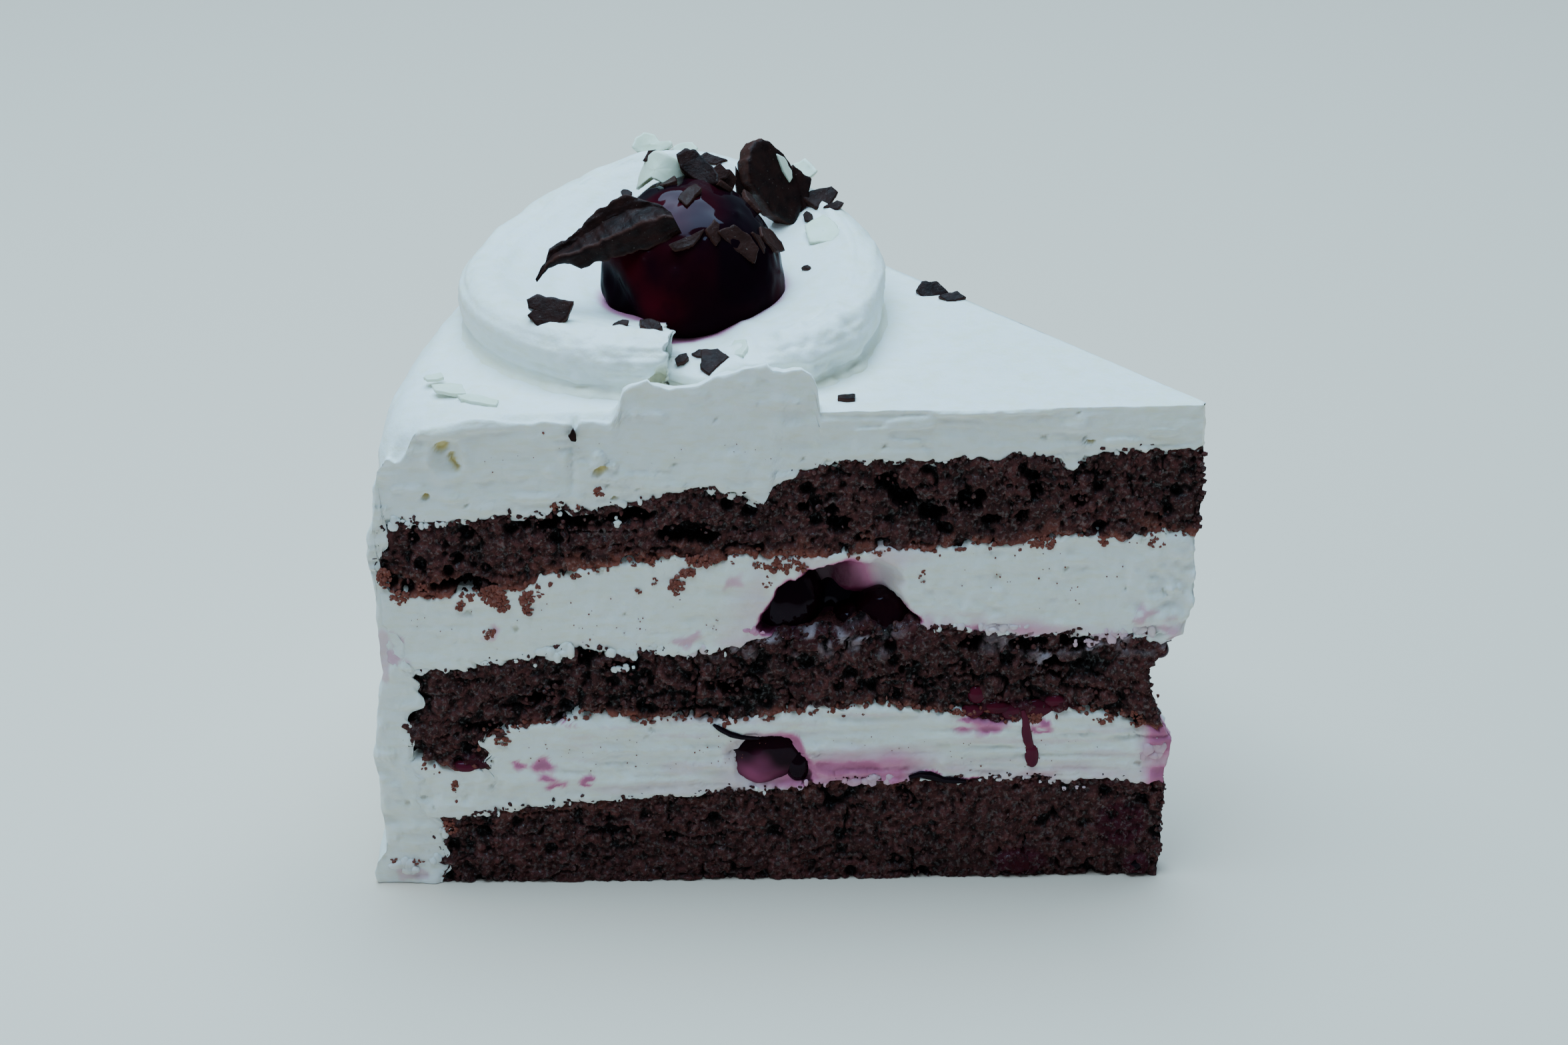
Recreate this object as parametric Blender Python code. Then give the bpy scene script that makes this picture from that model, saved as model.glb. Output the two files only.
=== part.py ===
# A slice of black forest cake: three chocolate sponges, two cream fillings, a cream coat,
# a piped cream ring with a glazed cherry on it, and shavings of dark and white chocolate.
#
# Sizes are in millimetres until new_object turns them into Blender's metres. The slice stands
# on z = 0. Its first cut face looks along -Y, its tip points along +X, and the origin is the
# middle of its footprint.
#
# "Along" is the distance from the frosted side towards the tip, measured in the first cut
# face, and "depth" is the distance behind that face. "Radius" and "angle" are polar: the
# radius is taken from the cake's centre, where the two cut faces meet, and the angle from
# the first cut face.

import math

import bmesh
import bpy
import numpy as np
from mathutils import Vector, noise
from mathutils.bvhtree import BVHTree

MM = 0.001
GAP = 0.3  # clear space between solids that touch in the real slice

# Driving sizes
CAKE_RADIUS = 121.0
WEDGE = math.radians(53.0)
TIP_HEIGHT = 77.7
TOP_SLOPE = 0.0095  # the top sinks this much for each millimetre away from the tip
CORNER_ROUND = 6.0  # rounding between the top and the frosted side

# The middle of the footprint, which the bulges of the side move a little
MIDDLE_ALONG = 59.86
MIDDLE_DEPTH = 48.41

# The stack inside the coat leans out a little from its foot to its top.
STACK_RADIUS_FOOT = 112.3
STACK_RADIUS_TOP = 119.0
STACK_HEIGHT = 60.0

# Grid cells of every layer. They share one grid, so that the faces of neighbours match.
CELLS_ALONG = 34
CELLS_ROUND = 7
SPONGE_CELLS_UP = 4
CREAM_CELLS_UP = 3
COAT_CELLS_UP_SIDE = 11
COAT_CELLS_THICK = 3
NEAR_SIDE = 0.8  # least length of a cell by the side
CORNER_CELLS = 4
CORNER_INNER_STEP = 0.9  # length of a cell on the coat's inner corner

# Height of each boundary between layers at the first cut face, as (along, height).
BOTTOM_SPONGE_TOP = ((8, 11.0), (16, 12.4), (30, 13.8), (50, 15.0), (70, 16.8), (95, 17.0), (120, 16.4))
MIDDLE_SPONGE_FLOOR = (
    (5, 21.5), (11, 19.5), (15, 25.0), (30, 28.2), (52, 27.0), (68, 29.4), (90, 28.3), (104, 28.0), (120, 25.5)
)
MIDDLE_SPONGE_TOP = (
    (5, 36.0), (20, 37.0), (30, 40.2), (45, 38.2), (58, 40.6), (70, 42.4), (95, 41.6), (108, 41.0), (120, 40.5)
)
TOP_SPONGE_FLOOR = ((2, 49.0), (8, 48.2), (20, 49.2), (32, 52.4), (45, 53.8), (70, 54.4), (95, 56.0), (120, 57.2))
TOP_SPONGE_TOP = (
    (2, 60.0), (20, 61.0), (35, 62.6), (48, 65.0), (56, 64.2), (62, 68.2), (80, 69.2), (100, 69.4), (120, 71.0)
)

# How far the coat's outside stands out of the cake's radius at the first cut face, by height.
SIDE_BULGE = ((0, 0.4), (2.5, 1.6), (6, 0.0), (20, 1.0), (33, 0.2), (43, -1.0), (55, 0.4), (64, -1.0), (80, -2.2))

# Radius at which each layer ends towards the tip
COAT_TIP = 1.0
TOP_SPONGE_TIP = 0.8
UPPER_FILLING_TIP = 1.9
MIDDLE_SPONGE_TIP = 5.4
LOWER_FILLING_TIP = 3.0
BOTTOM_SPONGE_TIP = 4.0

# Piped ring of cream: one turn that starts and ends at the front
RING_ALONG = 44.0
RING_DEPTH = 37.5
RING_RADIUS = 32.0
RING_SEAM = math.radians(-91.0)
RING_WALL = 5.0  # from the crest to the widest point
RING_DISH = 2.6  # height of the hollow's bottom over the cake
RING_COLUMNS = 52
RING_CREST = ((0.0, 3.6), (0.06, 4.6), (0.1, 8.0), (0.25, 9.8), (0.5, 14.2), (0.75, 10.4), (0.92, 8.8), (1.0, 8.0))
RING_SWELL = ((0.0, -1.5), (0.06, 0.6), (0.1, 3.4), (0.15, 2.6), (0.22, 0.2), (0.5, 0.6), (0.75, 0.2), (1.0, 0.2))
RING_INNER_ROWS = (0.0, 0.38, 0.62, 0.8, 0.92)
RING_OUTER_ROWS = (90, 60, 32, 4, -24, -50)  # degrees round the outer wall, from the crest down

# Glazed cherry on the ring: its middle, and its half sizes along, in depth, up and down
CHERRY_AT = (47.0, 33.0, 84.9)
CHERRY_SIZE = (13.6, 14.2, 14.8, 6.5)

# Shavings are flat chips, or the long folded one. A chip is (middle, facing, thickness, outline).
# The middle is (along, depth, height), facing is the way its flat side looks, and the outline
# is counted to its right and up.
SLAB = (
    (58.9, 50.7, 94.1),
    (0.45, -0.80, 0.40),
    2.2,
    (
        (-4.7, 0.6), (-3.3, -1.6), (-1.9, -5.0), (2.1, -8.0), (4.3, -5.2), (4.7, -2.0),
        (4.3, 0.9), (1.6, 5.1), (0.1, 6.6), (-2.6, 5.6), (-4.4, 3.4),
    ),
)
TOP_CHIP = (
    (48.4, 37.2, 101.9),
    (-0.1, -0.7, 0.7),
    1.6,
    ((-2.6, -0.3), (-0.7, -1.7), (1.6, -2.7), (3.4, -2.6), (3.3, -1.2), (1.6, 0.7), (-0.8, 3.0), (-2.3, 3.1), (-3.4, 1.8)),
)
WHITE_CHIP = (
    (41.8, 37.4, 100.3),
    (-0.3, -0.75, 0.6),
    1.2,
    ((-3.4, -0.8), (-3.1, -2.4), (-2.0, -2.2), (-0.3, -1.2), (1.5, -1.7), (2.9, -1.0), (4.0, 1.6), (3.1, 2.4), (-0.6, 3.1), (-2.1, 2.3)),
)

# The long folded shaving: where its tip rests, the way it runs, and the way its back edge
# lies. Each line gives the distance from the tip, then its back edge, its fold and its
# front edge, counted towards the back.
LEAF_TIP = (24.2, 22.8, 88.6)
LEAF_RUNS = (0.880, 0.100, 0.475)
LEAF_BACK = (-0.285, 0.903, 0.323)
LEAF_THICK = 1.5
LEAF_LINES = (
    (0.0, 0.5, 0.0, -0.5),
    (4.0, 4.4, 2.3, 0.2),
    (9.0, 5.6, 2.1, -3.2),
    (14.0, 6.7, 2.2, -4.9),
    (17.5, 6.6, 2.0, -5.5),
    (20.0, 4.6, 1.2, -5.9),
    (22.2, 0.8, -1.1, -6.1),
)
LEAF_RELIEF = (0.9, 0.4, -0.6, 0.8, -0.6)  # height of the back edge, fold and front edge, with points between

# Small shavings as (along, depth, half width): on the ring, on the coat and on the cherry
RING_CHIPS = (
    (25.8, 17.9, 3.4), (36.9, 14.5, 1.3), (40.7, 12.6, 1.7), (49.9, 9.5, 2.2), (68.0, 58.0, 3.0),
    (50.2, 63.5, 2.0), (40.5, 65.5, 2.4), (63.0, 59.5, 2.4), (67.0, 46.0, 3.4),
)
COAT_CHIPS = ((69.4, 3.9, 1.7), (83.8, 45.0, 1.9), (12.0, 11.0, 2.0))
CHERRY_CHIPS = ((46.8, 29.0, 2.0), (46.6, 22.3, 2.2), (53.9, 24.2, 2.8), (58.5, 29.0, 2.3))
CHIP_THICK = 1.3

# Lip of cream that the knife left standing on the cut edge, as (along, height)
LIP = (
    (37.0, 75.2), (64.0, 75.2), (65.5, 81.1), (63.0, 84.5), (58.1, 84.3), (57.7, 85.4),
    (53.8, 84.9), (49.4, 82.6), (44.1, 81.5), (40.8, 82.8), (37.1, 81.4),
)
LIP_THICK = 2.2
LIP_DEPTH = 1.6  # of its middle

# Cherries in the fillings: name, middle (along, depth, height) and half sizes
UPPER_CHERRY_AT = (67.0, 3.0, 43.0)
UPPER_CHERRY_SIZE = (10.8, 9.0, 10.6)
UPPER_CHERRY_SIDE_AT = (77.0, 5.0, 45.4)
UPPER_CHERRY_SIDE_SIZE = (5.2, 7.0, 5.4)
LOWER_CHERRY_AT = (58.4, 3.5, 20.4)
LOWER_CHERRY_SIZE = (6.0, 7.5, 5.2)

# Colours as the materials state them, with roughness
SPONGE_BROWN = ((0.055, 0.022, 0.014), 0.85)
CREAM_WHITE = ((0.83, 0.79, 0.68), 0.5)
CHERRY_RED = ((0.035, 0.002, 0.008), 0.12)
DARK_CHOCOLATE = ((0.028, 0.011, 0.008), 0.42)
WHITE_CHOCOLATE = ((0.80, 0.80, 0.62), 0.45)


def clear_scene():
    for obj in list(bpy.data.objects):
        bpy.data.objects.remove(obj, do_unlink=True)


def material(name, look):
    colour, roughness = look
    made = bpy.data.materials.new(name)
    made.use_nodes = True
    shader = made.node_tree.nodes["Principled BSDF"]
    shader.inputs["Base Color"].default_value = (*colour, 1.0)
    shader.inputs["Roughness"].default_value = roughness
    shader.inputs["Metallic"].default_value = 0.0
    return made


def new_object(name, points, faces, finish):
    """A mesh object from points in millimetres."""
    mesh = bpy.data.meshes.new(name)
    mesh.from_pydata([tuple(MM * c for c in p) for p in points], [], faces)
    mesh.update()
    mesh.materials.append(finish)
    made = bpy.data.objects.new(name, mesh)
    bpy.context.scene.collection.objects.link(made)
    return made


def at_place(along, depth):
    """X and Y of a point."""
    return along - MIDDLE_ALONG, depth - MIDDLE_DEPTH


def at_polar(radius, angle):
    """X and Y of a point at this radius from the cake's centre."""
    return at_place(CAKE_RADIUS - radius * math.cos(angle), radius * math.sin(angle))


def curve(points, x):
    """Height of a line through these (position, height) points."""
    return float(np.interp(x, *zip(*points)))


def wobble(x, y, z, size):
    """Smooth noise from about -1 to 1, with bumps of this size."""
    return noise.noise(Vector((x, y, z)) / size)


def blend(a, b, share):
    return a + (b - a) * share


def box_grid(cells):
    """Surface of a box cut into cells: its points, from 0 to 1 each way, and quads that face out."""
    points = []
    index = {}
    quads = []

    def number(spot):
        if spot not in index:
            index[spot] = len(points)
            points.append([spot[axis] / cells[axis] for axis in range(3)])
        return index[spot]

    for axis in range(3):
        first, second = (axis + 1) % 3, (axis + 2) % 3
        for end in (0, cells[axis]):
            for i in range(cells[first]):
                for j in range(cells[second]):
                    ring = []
                    for step_i, step_j in ((0, 0), (1, 0), (1, 1), (0, 1)):
                        spot = [0, 0, 0]
                        spot[axis] = end
                        spot[first] = i + step_i
                        spot[second] = j + step_j
                        ring.append(number(tuple(spot)))
                    quads.append(ring if end else ring[::-1])
    return points, quads


def shaped_box(name, cells, place, finish):
    """A box whose surface points are moved to place(u, v, w)."""
    points, quads = box_grid(cells)
    return new_object(name, [place(*p) for p in points], quads, finish)


def cake_top(along):
    """Height of the flat top, before the rounding at the side."""
    return TIP_HEIGHT - TOP_SLOPE * (CAKE_RADIUS - along)


def stack_radius(height):
    """Radius of the stack of sponges and fillings inside the coat."""
    share = min(max(height / STACK_HEIGHT, 0.0), 1.0)
    return blend(STACK_RADIUS_FOOT, STACK_RADIUS_TOP, share)


def side_radius(height, angle):
    """Radius of the coat's outside."""
    bulge = curve(SIDE_BULGE, height)
    uneven = 0.5 * wobble(60 * angle, 3.0, height, 14.0)
    return CAKE_RADIUS + blend(bulge, 0.5 * bulge, angle / WEDGE) + uneven


def boundary(points, radius, angle):
    """Height of a boundary between two layers. It follows the cut face's line, and gets calmer behind it."""
    along = CAKE_RADIUS - radius
    calm = curve(((0, curve(points, 0)), (CAKE_RADIUS, curve(points, CAKE_RADIUS))), along)
    behind = angle / WEDGE
    line = blend(curve(points, along), calm, 0.6 * math.sin(math.pi * behind / 2))
    return line + 0.45 * wobble(along, 40 * behind, points[0][1], 6.0)


def stations(tip):
    """Radii of the grid lines, from the side to the tip. They are the same for every layer but the last."""
    radii = [STACK_RADIUS_TOP * (1 - step / CELLS_ALONG) for step in range(CELLS_ALONG)]
    return [radius for radius in radii if radius > tip + 1.0] + [tip]


def crumb(along, height, seed):
    """Relief of a torn sponge face: small bumps and a few deeper holes."""
    grain = 0.45 * wobble(along, seed, height, 3.6)
    hole = wobble(along, seed + 9.0, height, 7.5) - 0.34
    return grain - 3.2 * max(hole, 0.0)


def smear(along, height, seed):
    """Relief of cut cream: long, low strokes of the knife."""
    return 0.28 * wobble(along / 2.2, seed, height, 3.4)


def cut_face_shift(v, along, height, relief, seed):
    """How far a point of a cut face moves out of it, as a shift in X and Y."""
    if v == 0.0:
        return 0.0, -relief(along, height, seed)
    if v == 1.0:
        out = relief(along, height, seed + 31.0)
        return out * math.sin(WEDGE), out * math.cos(WEDGE)
    return 0.0, 0.0


def layer(name, floor, ceiling, tip, cells_up, relief, finish):
    """One sponge or filling between two boundaries. None as the floor is the plate."""
    seed = 5.0 * floor[0][1] if floor else 1.0
    radii = stations(tip)

    def place(u, v, w):
        angle = WEDGE * v
        step = round(u * (len(radii) - 1))
        radius = radii[step]
        low = boundary(floor, radius, angle) + GAP / 2 if floor else 0.0
        high = boundary(ceiling, radius, angle) - GAP / 2
        z = blend(low, high, w)
        radius = min(radius, stack_radius(z) - NEAR_SIDE * step)
        x, y = at_polar(radius, angle)
        on_an_edge = w in (0.0, 1.0) or u == 0.0
        shift_x, shift_y = cut_face_shift(v, CAKE_RADIUS - radius, z, relief, seed)
        share = 0.4 if on_an_edge else 1.0
        return x + share * shift_x, y + share * shift_y, z

    return shaped_box(name, (len(radii) - 1, CELLS_ROUND, cells_up), place, finish)


def coat_paths(angle):
    """The coat's section at this angle, from its foot up the side and over the top to the tip:
    matching (radius, height) points of its inside and of its outside."""
    inside = []
    outside = []
    inner_corner = boundary(TOP_SPONGE_TOP, STACK_RADIUS_TOP, angle) + GAP / 2
    round_from = cake_top(CORNER_ROUND) - CORNER_ROUND
    side_top = inner_corner - CORNER_INNER_STEP * CORNER_CELLS / 2
    for step in range(COAT_CELLS_UP_SIDE):
        share = step / COAT_CELLS_UP_SIDE
        height = side_top * share
        inside.append((stack_radius(height) + GAP, height))
        height = round_from * share
        outside.append((side_radius(height, angle), height))
    rim = side_radius(round_from, angle)
    for step in range(CORNER_CELLS + 1):
        turn = math.pi / 2 * step / CORNER_CELLS
        along_corner = CORNER_INNER_STEP * (step - CORNER_CELLS / 2)
        if along_corner <= 0:
            height = inner_corner + along_corner
            inside.append((stack_radius(height) + GAP, height))
        else:
            radius = STACK_RADIUS_TOP - along_corner
            inside.append((radius, boundary(TOP_SPONGE_TOP, radius, angle) + GAP / 2))
        outside.append(
            (
                rim - CORNER_ROUND * (1 - math.cos(turn)),
                round_from + CORNER_ROUND * math.sin(turn),
            )
        )
    for radius in stations(COAT_TIP)[2:]:
        inside.append((radius, boundary(TOP_SPONGE_TOP, radius, angle) + GAP / 2))
        outside.append((radius, cake_top(CAKE_RADIUS - radius * math.cos(angle))))
    return inside, outside


def coat(finish):
    """The cream over the top and down the side, as one solid."""
    sections = [coat_paths(WEDGE * j / CELLS_ROUND) for j in range(CELLS_ROUND + 1)]
    cells_along = len(sections[0][0]) - 1

    def place(u, v, w):
        inside, outside = sections[round(v * CELLS_ROUND)]
        spot = round(u * cells_along)
        radius = blend(inside[spot][0], outside[spot][0], w)
        z = blend(inside[spot][1], outside[spot][1], w)
        x, y = at_polar(radius, WEDGE * v)
        shift_x, shift_y = cut_face_shift(v, CAKE_RADIUS - radius, z, smear, 77.0)
        share = 1.0 if 0.0 < w < 1.0 else 0.4
        return x + share * shift_x, y + share * shift_y, z

    cells = (cells_along, CELLS_ROUND, COAT_CELLS_THICK)
    return shaped_box("cream_coat", cells, place, finish)


def ring_section(turn):
    """The piped ring's section: (distance from its middle, height over the cake) from the
    hollow's bottom over the crest to the foot. Turn goes from 0 to 1 along the piping."""
    crest = curve(RING_CREST, turn)
    widest = RING_RADIUS + curve(RING_SWELL, turn)
    crest_at = widest - RING_WALL
    rows = []
    for share in RING_INNER_ROWS:
        rows.append((crest_at * share, blend(RING_DISH, crest, share ** 1.7)))
    for degrees in RING_OUTER_ROWS:
        lean = math.radians(degrees)
        rows.append(
            (
                crest_at + RING_WALL * math.cos(lean),
                crest / 2 * (1 + math.sin(lean)),
            )
        )
    rows.append((crest_at + 0.45 * RING_WALL, 0.0))
    return rows


def piped_ring(finish):
    columns = []
    for step in range(RING_COLUMNS):
        turn = step / (RING_COLUMNS - 1)
        angle = RING_SEAM + turn * 2 * math.pi * (1 - 0.6 / RING_COLUMNS)
        column = []
        for distance, height in ring_section(turn):
            x, y = at_place(
                RING_ALONG + distance * math.cos(angle),
                RING_DEPTH + distance * math.sin(angle),
            )
            uneven = 0.35 * wobble(x, y, height, 8.0) if height > 0 else 0.0
            base = cake_top(x + MIDDLE_ALONG) + GAP
            column.append((x, y, base + height + uneven * min(height / 4, 1.0)))
        columns.append(column)
    rows = len(columns[0])
    x, y = at_place(RING_ALONG, RING_DEPTH)
    middle_height = cake_top(RING_ALONG) + GAP
    points = [(x, y, middle_height + RING_DISH), (x, y, middle_height)]
    for column in columns:
        points.extend(column[1:])
    faces = []
    for step in range(RING_COLUMNS):
        here = 2 + step * (rows - 1)
        after = 2 + (step + 1) % RING_COLUMNS * (rows - 1)
        faces.append((0, here, after))
        for row in range(rows - 2):
            faces.append((here + row, here + row + 1, after + row + 1, after + row))
        faces.append((1, after + rows - 2, here + rows - 2))
    return new_object("cream_ring", points, faces, finish)


def ball(name, at, size, finish, segments=24, rings=14):
    """An ellipsoid about (along, depth, height). A fourth size is the half height of its lower half."""
    mesh = bmesh.new()
    bmesh.ops.create_uvsphere(mesh, u_segments=segments, v_segments=rings, radius=1.0)
    x, y = at_place(at[0], at[1])
    for vertex in mesh.verts:
        half_height = size[2] if vertex.co.z > 0 else size[-1]
        lumps = 1 + 0.03 * wobble(*(vertex.co * 4.0 + Vector(at)), 3.0)
        vertex.co = MM * Vector(
            (
                x + size[0] * lumps * vertex.co.x,
                y + size[1] * lumps * vertex.co.y,
                at[2] + half_height * lumps * vertex.co.z,
            )
        )
    data = bpy.data.meshes.new(name)
    mesh.to_mesh(data)
    mesh.free()
    data.materials.append(finish)
    made = bpy.data.objects.new(name, data)
    bpy.context.scene.collection.objects.link(made)
    return made


def prism(name, middle, right, up, thickness, outline, finish):
    """A flat plate with this outline, counted along right and up from its middle."""
    facing = right.cross(up).normalized()
    points = []
    for side in (0.5, -0.5):
        for a, b in outline:
            points.append(middle + right * a + up * b + facing * thickness * side)
    count = len(outline)
    front = tuple(range(count))
    back = tuple(range(2 * count - 1, count - 1, -1))
    edges = [(i, i + count, (i + 1) % count + count, (i + 1) % count) for i in front]
    return new_object(name, points, [front, back, *edges], finish)


def chip(name, parts, finish):
    """A free shaving."""
    (along, depth, height), facing, thickness, outline = parts
    facing = Vector(facing).normalized()
    right = Vector((0, 0, 1)).cross(facing).normalized()
    middle = Vector((*at_place(along, depth), height))
    return prism(name, middle, right, facing.cross(right), thickness, outline, finish)


def leaf(finish):
    """The long folded shaving: a thick sheet, wide at the cherry and pointed at its other end."""
    runs = Vector(LEAF_RUNS).normalized()
    back = Vector(LEAF_BACK).normalized()
    up = runs.cross(back).normalized()
    tip = Vector((*at_place(LEAF_TIP[0], LEAF_TIP[1]), LEAF_TIP[2]))
    points = []
    for step, (distance, back_edge, fold, front_edge) in enumerate(LEAF_LINES):
        across = (back_edge, (back_edge + fold) / 2, fold, (fold + front_edge) / 2, front_edge)
        strength = min(step / 3, 1.0)
        upper = []
        lower = []
        for offset, relief in zip(across, LEAF_RELIEF):
            spot = tip + runs * distance + back * offset + up * relief * strength
            thin = LEAF_THICK / 2 * (0.6 + 0.4 * strength)
            upper.append(spot + up * thin)
            lower.append(spot - up * thin)
        points.extend(upper + lower[::-1])
    count = 2 * len(LEAF_RELIEF)
    faces = [tuple(range(count))[::-1], tuple(range(len(points) - count, len(points)))]
    for step in range(len(LEAF_LINES) - 1):
        for i in range(count):
            here, after = step * count + i, step * count + (i + 1) % count
            faces.append((here, after, after + count, here + count))
    return new_object("shaving_long", points, faces, finish)


def small_chips(base, places, seed):
    """Shavings lying on a solid, joined to it."""
    dice = np.random.default_rng(seed)
    mesh = base.data
    surface = BVHTree.FromPolygons([v.co for v in mesh.vertices], [p.vertices for p in mesh.polygons])
    pile = bpy.data.collections.new(base.name + "_chips")
    bpy.context.scene.collection.children.link(pile)
    for count, (along, depth, half) in enumerate(places):
        x, y = at_place(along, depth)
        above = Vector((x, y, 130.0)) * MM
        spot, facing, _, _ = surface.ray_cast(above, Vector((0, 0, -1)))
        right = Vector((1, 0, 0)).cross(facing).cross(facing).normalized() * -1
        turned = dice.uniform(0, 2 * math.pi)
        outline = []
        for corner in range(5):
            angle = turned + 2 * math.pi * (corner + dice.uniform(-0.25, 0.25)) / 5
            reach = half * dice.uniform(0.75, 1.2)
            outline.append((reach * math.cos(angle), reach * math.sin(angle)))
        up = facing.cross(right)
        made = prism("chip", spot / MM, right, up, CHIP_THICK, outline, base.data.materials[0])
        bpy.context.scene.collection.objects.unlink(made)
        pile.objects.link(made)
    fuse(base, pile)


def lip(base, finish):
    """The standing lip of cream, joined to the coat."""
    pile = bpy.data.collections.new("lip")
    bpy.context.scene.collection.children.link(pile)
    x, y = at_place(0.0, LIP_DEPTH)
    made = prism("lip", Vector((x, y, 0.0)), Vector((1, 0, 0)), Vector((0, 0, 1)), LIP_THICK, LIP, finish)
    bpy.context.scene.collection.objects.unlink(made)
    pile.objects.link(made)
    fuse(base, pile)


def fuse(base, pile):
    """Joins everything in a collection to the base."""
    boolean(base, pile, "UNION", "MANIFOLD")
    for obj in list(pile.objects):
        bpy.data.objects.remove(obj, do_unlink=True)
    bpy.data.collections.remove(pile)


def apply_modifiers(obj):
    """Turns the object's mesh into what its modifiers make of it."""
    graph = bpy.context.evaluated_depsgraph_get()
    made = bpy.data.meshes.new_from_object(obj.evaluated_get(graph))
    obj.modifiers.clear()
    obj.data = made


def boolean(obj, other, operation, solver="EXACT"):
    """Cuts, joins or trims obj with another object or a collection, and applies it."""
    step = obj.modifiers.new(operation.lower(), "BOOLEAN")
    step.solver = solver
    step.operation = operation
    if isinstance(other, bpy.types.Collection):
        step.operand_type = "COLLECTION"
        step.collection = other
    else:
        step.object = other
    apply_modifiers(obj)


def grown(size):
    return [s + GAP for s in size]


def bury(filling, name, at, size, finish):
    """A cherry in a filling: trimmed to the filling's own surfaces, which leave room for it."""
    cherry = ball(name, at, size, finish)
    boolean(cherry, filling, "INTERSECT")
    socket = ball(name + "_socket", at, grown(size), finish)
    boolean(filling, socket, "DIFFERENCE")
    bpy.data.objects.remove(socket, do_unlink=True)
    return cherry


def smooth(obj, limit=40.0):
    """Shades round faces smooth and keeps edges sharper than the limit, in degrees."""
    obj.data.shade_smooth()
    obj.data.set_sharp_from_angle(angle=math.radians(limit))


def build():
    clear_scene()
    sponge = material("sponge", SPONGE_BROWN)
    cream = material("cream", CREAM_WHITE)
    cherry = material("cherry", CHERRY_RED)
    dark = material("dark_chocolate", DARK_CHOCOLATE)
    white = material("white_chocolate", WHITE_CHOCOLATE)

    layer("sponge_bottom", None, BOTTOM_SPONGE_TOP, BOTTOM_SPONGE_TIP, SPONGE_CELLS_UP, crumb, sponge)
    lower = layer(
        "filling_lower", BOTTOM_SPONGE_TOP, MIDDLE_SPONGE_FLOOR, LOWER_FILLING_TIP, CREAM_CELLS_UP, smear, cream
    )
    layer(
        "sponge_middle", MIDDLE_SPONGE_FLOOR, MIDDLE_SPONGE_TOP, MIDDLE_SPONGE_TIP, SPONGE_CELLS_UP, crumb, sponge
    )
    upper = layer(
        "filling_upper", MIDDLE_SPONGE_TOP, TOP_SPONGE_FLOOR, UPPER_FILLING_TIP, CREAM_CELLS_UP, smear, cream
    )
    layer("sponge_top", TOP_SPONGE_FLOOR, TOP_SPONGE_TOP, TOP_SPONGE_TIP, SPONGE_CELLS_UP, crumb, sponge)
    outside = coat(cream)
    lip(outside, cream)
    small_chips(outside, COAT_CHIPS, 8)

    bury(lower, "cherry_lower", LOWER_CHERRY_AT, LOWER_CHERRY_SIZE, cherry)
    bury(upper, "cherry_upper", UPPER_CHERRY_AT, UPPER_CHERRY_SIZE, cherry)

    ring = piped_ring(cream)
    seat = ball("cherry_seat", CHERRY_AT, grown(CHERRY_SIZE), cherry, 28, 16)
    boolean(ring, seat, "DIFFERENCE")
    bpy.data.objects.remove(seat, do_unlink=True)
    small_chips(ring, RING_CHIPS, 5)
    top_cherry = ball("cherry_top", CHERRY_AT, CHERRY_SIZE, cherry, 28, 16)
    small_chips(top_cherry, CHERRY_CHIPS, 7)
    smooth(top_cherry)
    smooth(ring)

    leaf(dark)
    chip("shaving_slab", SLAB, dark)
    chip("shaving_top", TOP_CHIP, dark)
    chip("shaving_white", WHITE_CHIP, white)


build()
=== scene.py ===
# Looks of the cake slice: torn chocolate sponge, cut and piped cream, glazed cherries, and
# shavings of dark and white chocolate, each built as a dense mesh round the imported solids.
#
# Sizes are in millimetres until add_piece turns them into metres. "Along" runs from the
# frosted side to the tip in the first cut face, "depth" goes back from that face, and
# height is over the plate. Radius and angle are taken from where the two cut faces meet.

import math

import bmesh
import bpy
import numpy as np
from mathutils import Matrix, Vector


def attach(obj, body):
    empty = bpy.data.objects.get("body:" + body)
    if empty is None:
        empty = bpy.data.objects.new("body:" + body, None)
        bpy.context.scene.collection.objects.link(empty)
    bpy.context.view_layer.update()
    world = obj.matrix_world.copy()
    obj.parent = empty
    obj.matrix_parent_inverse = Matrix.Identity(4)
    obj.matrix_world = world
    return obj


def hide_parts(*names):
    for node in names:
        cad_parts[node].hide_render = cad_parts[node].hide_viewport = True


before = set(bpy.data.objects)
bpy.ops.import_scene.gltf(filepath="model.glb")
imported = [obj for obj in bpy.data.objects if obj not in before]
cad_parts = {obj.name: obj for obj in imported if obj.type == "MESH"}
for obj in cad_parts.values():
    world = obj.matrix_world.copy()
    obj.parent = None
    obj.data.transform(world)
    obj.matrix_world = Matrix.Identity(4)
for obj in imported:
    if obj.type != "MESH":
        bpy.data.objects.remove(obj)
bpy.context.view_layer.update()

MM = 0.001
CAKE_RADIUS = 121.0
WEDGE = math.radians(53.0)
MIDDLE = np.array([59.86, 48.41, 0.0])  # the row's origin, as (along, depth, height)
TIP_HEIGHT = 77.7
TOP_SLOPE = 0.0095
CORNER_ROUND = 6.0
# Radius of the sponges and fillings at each height
STACK_RADIUS = (
    (0, 112.5), (8, 113.4), (13, 113.6), (19, 115.6), (24, 116.4), (36, 116.2), (44, 118.0), (48, 119.6),
    (52, 120.2), (57, 119.6), (61, 119.2),
)

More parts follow.
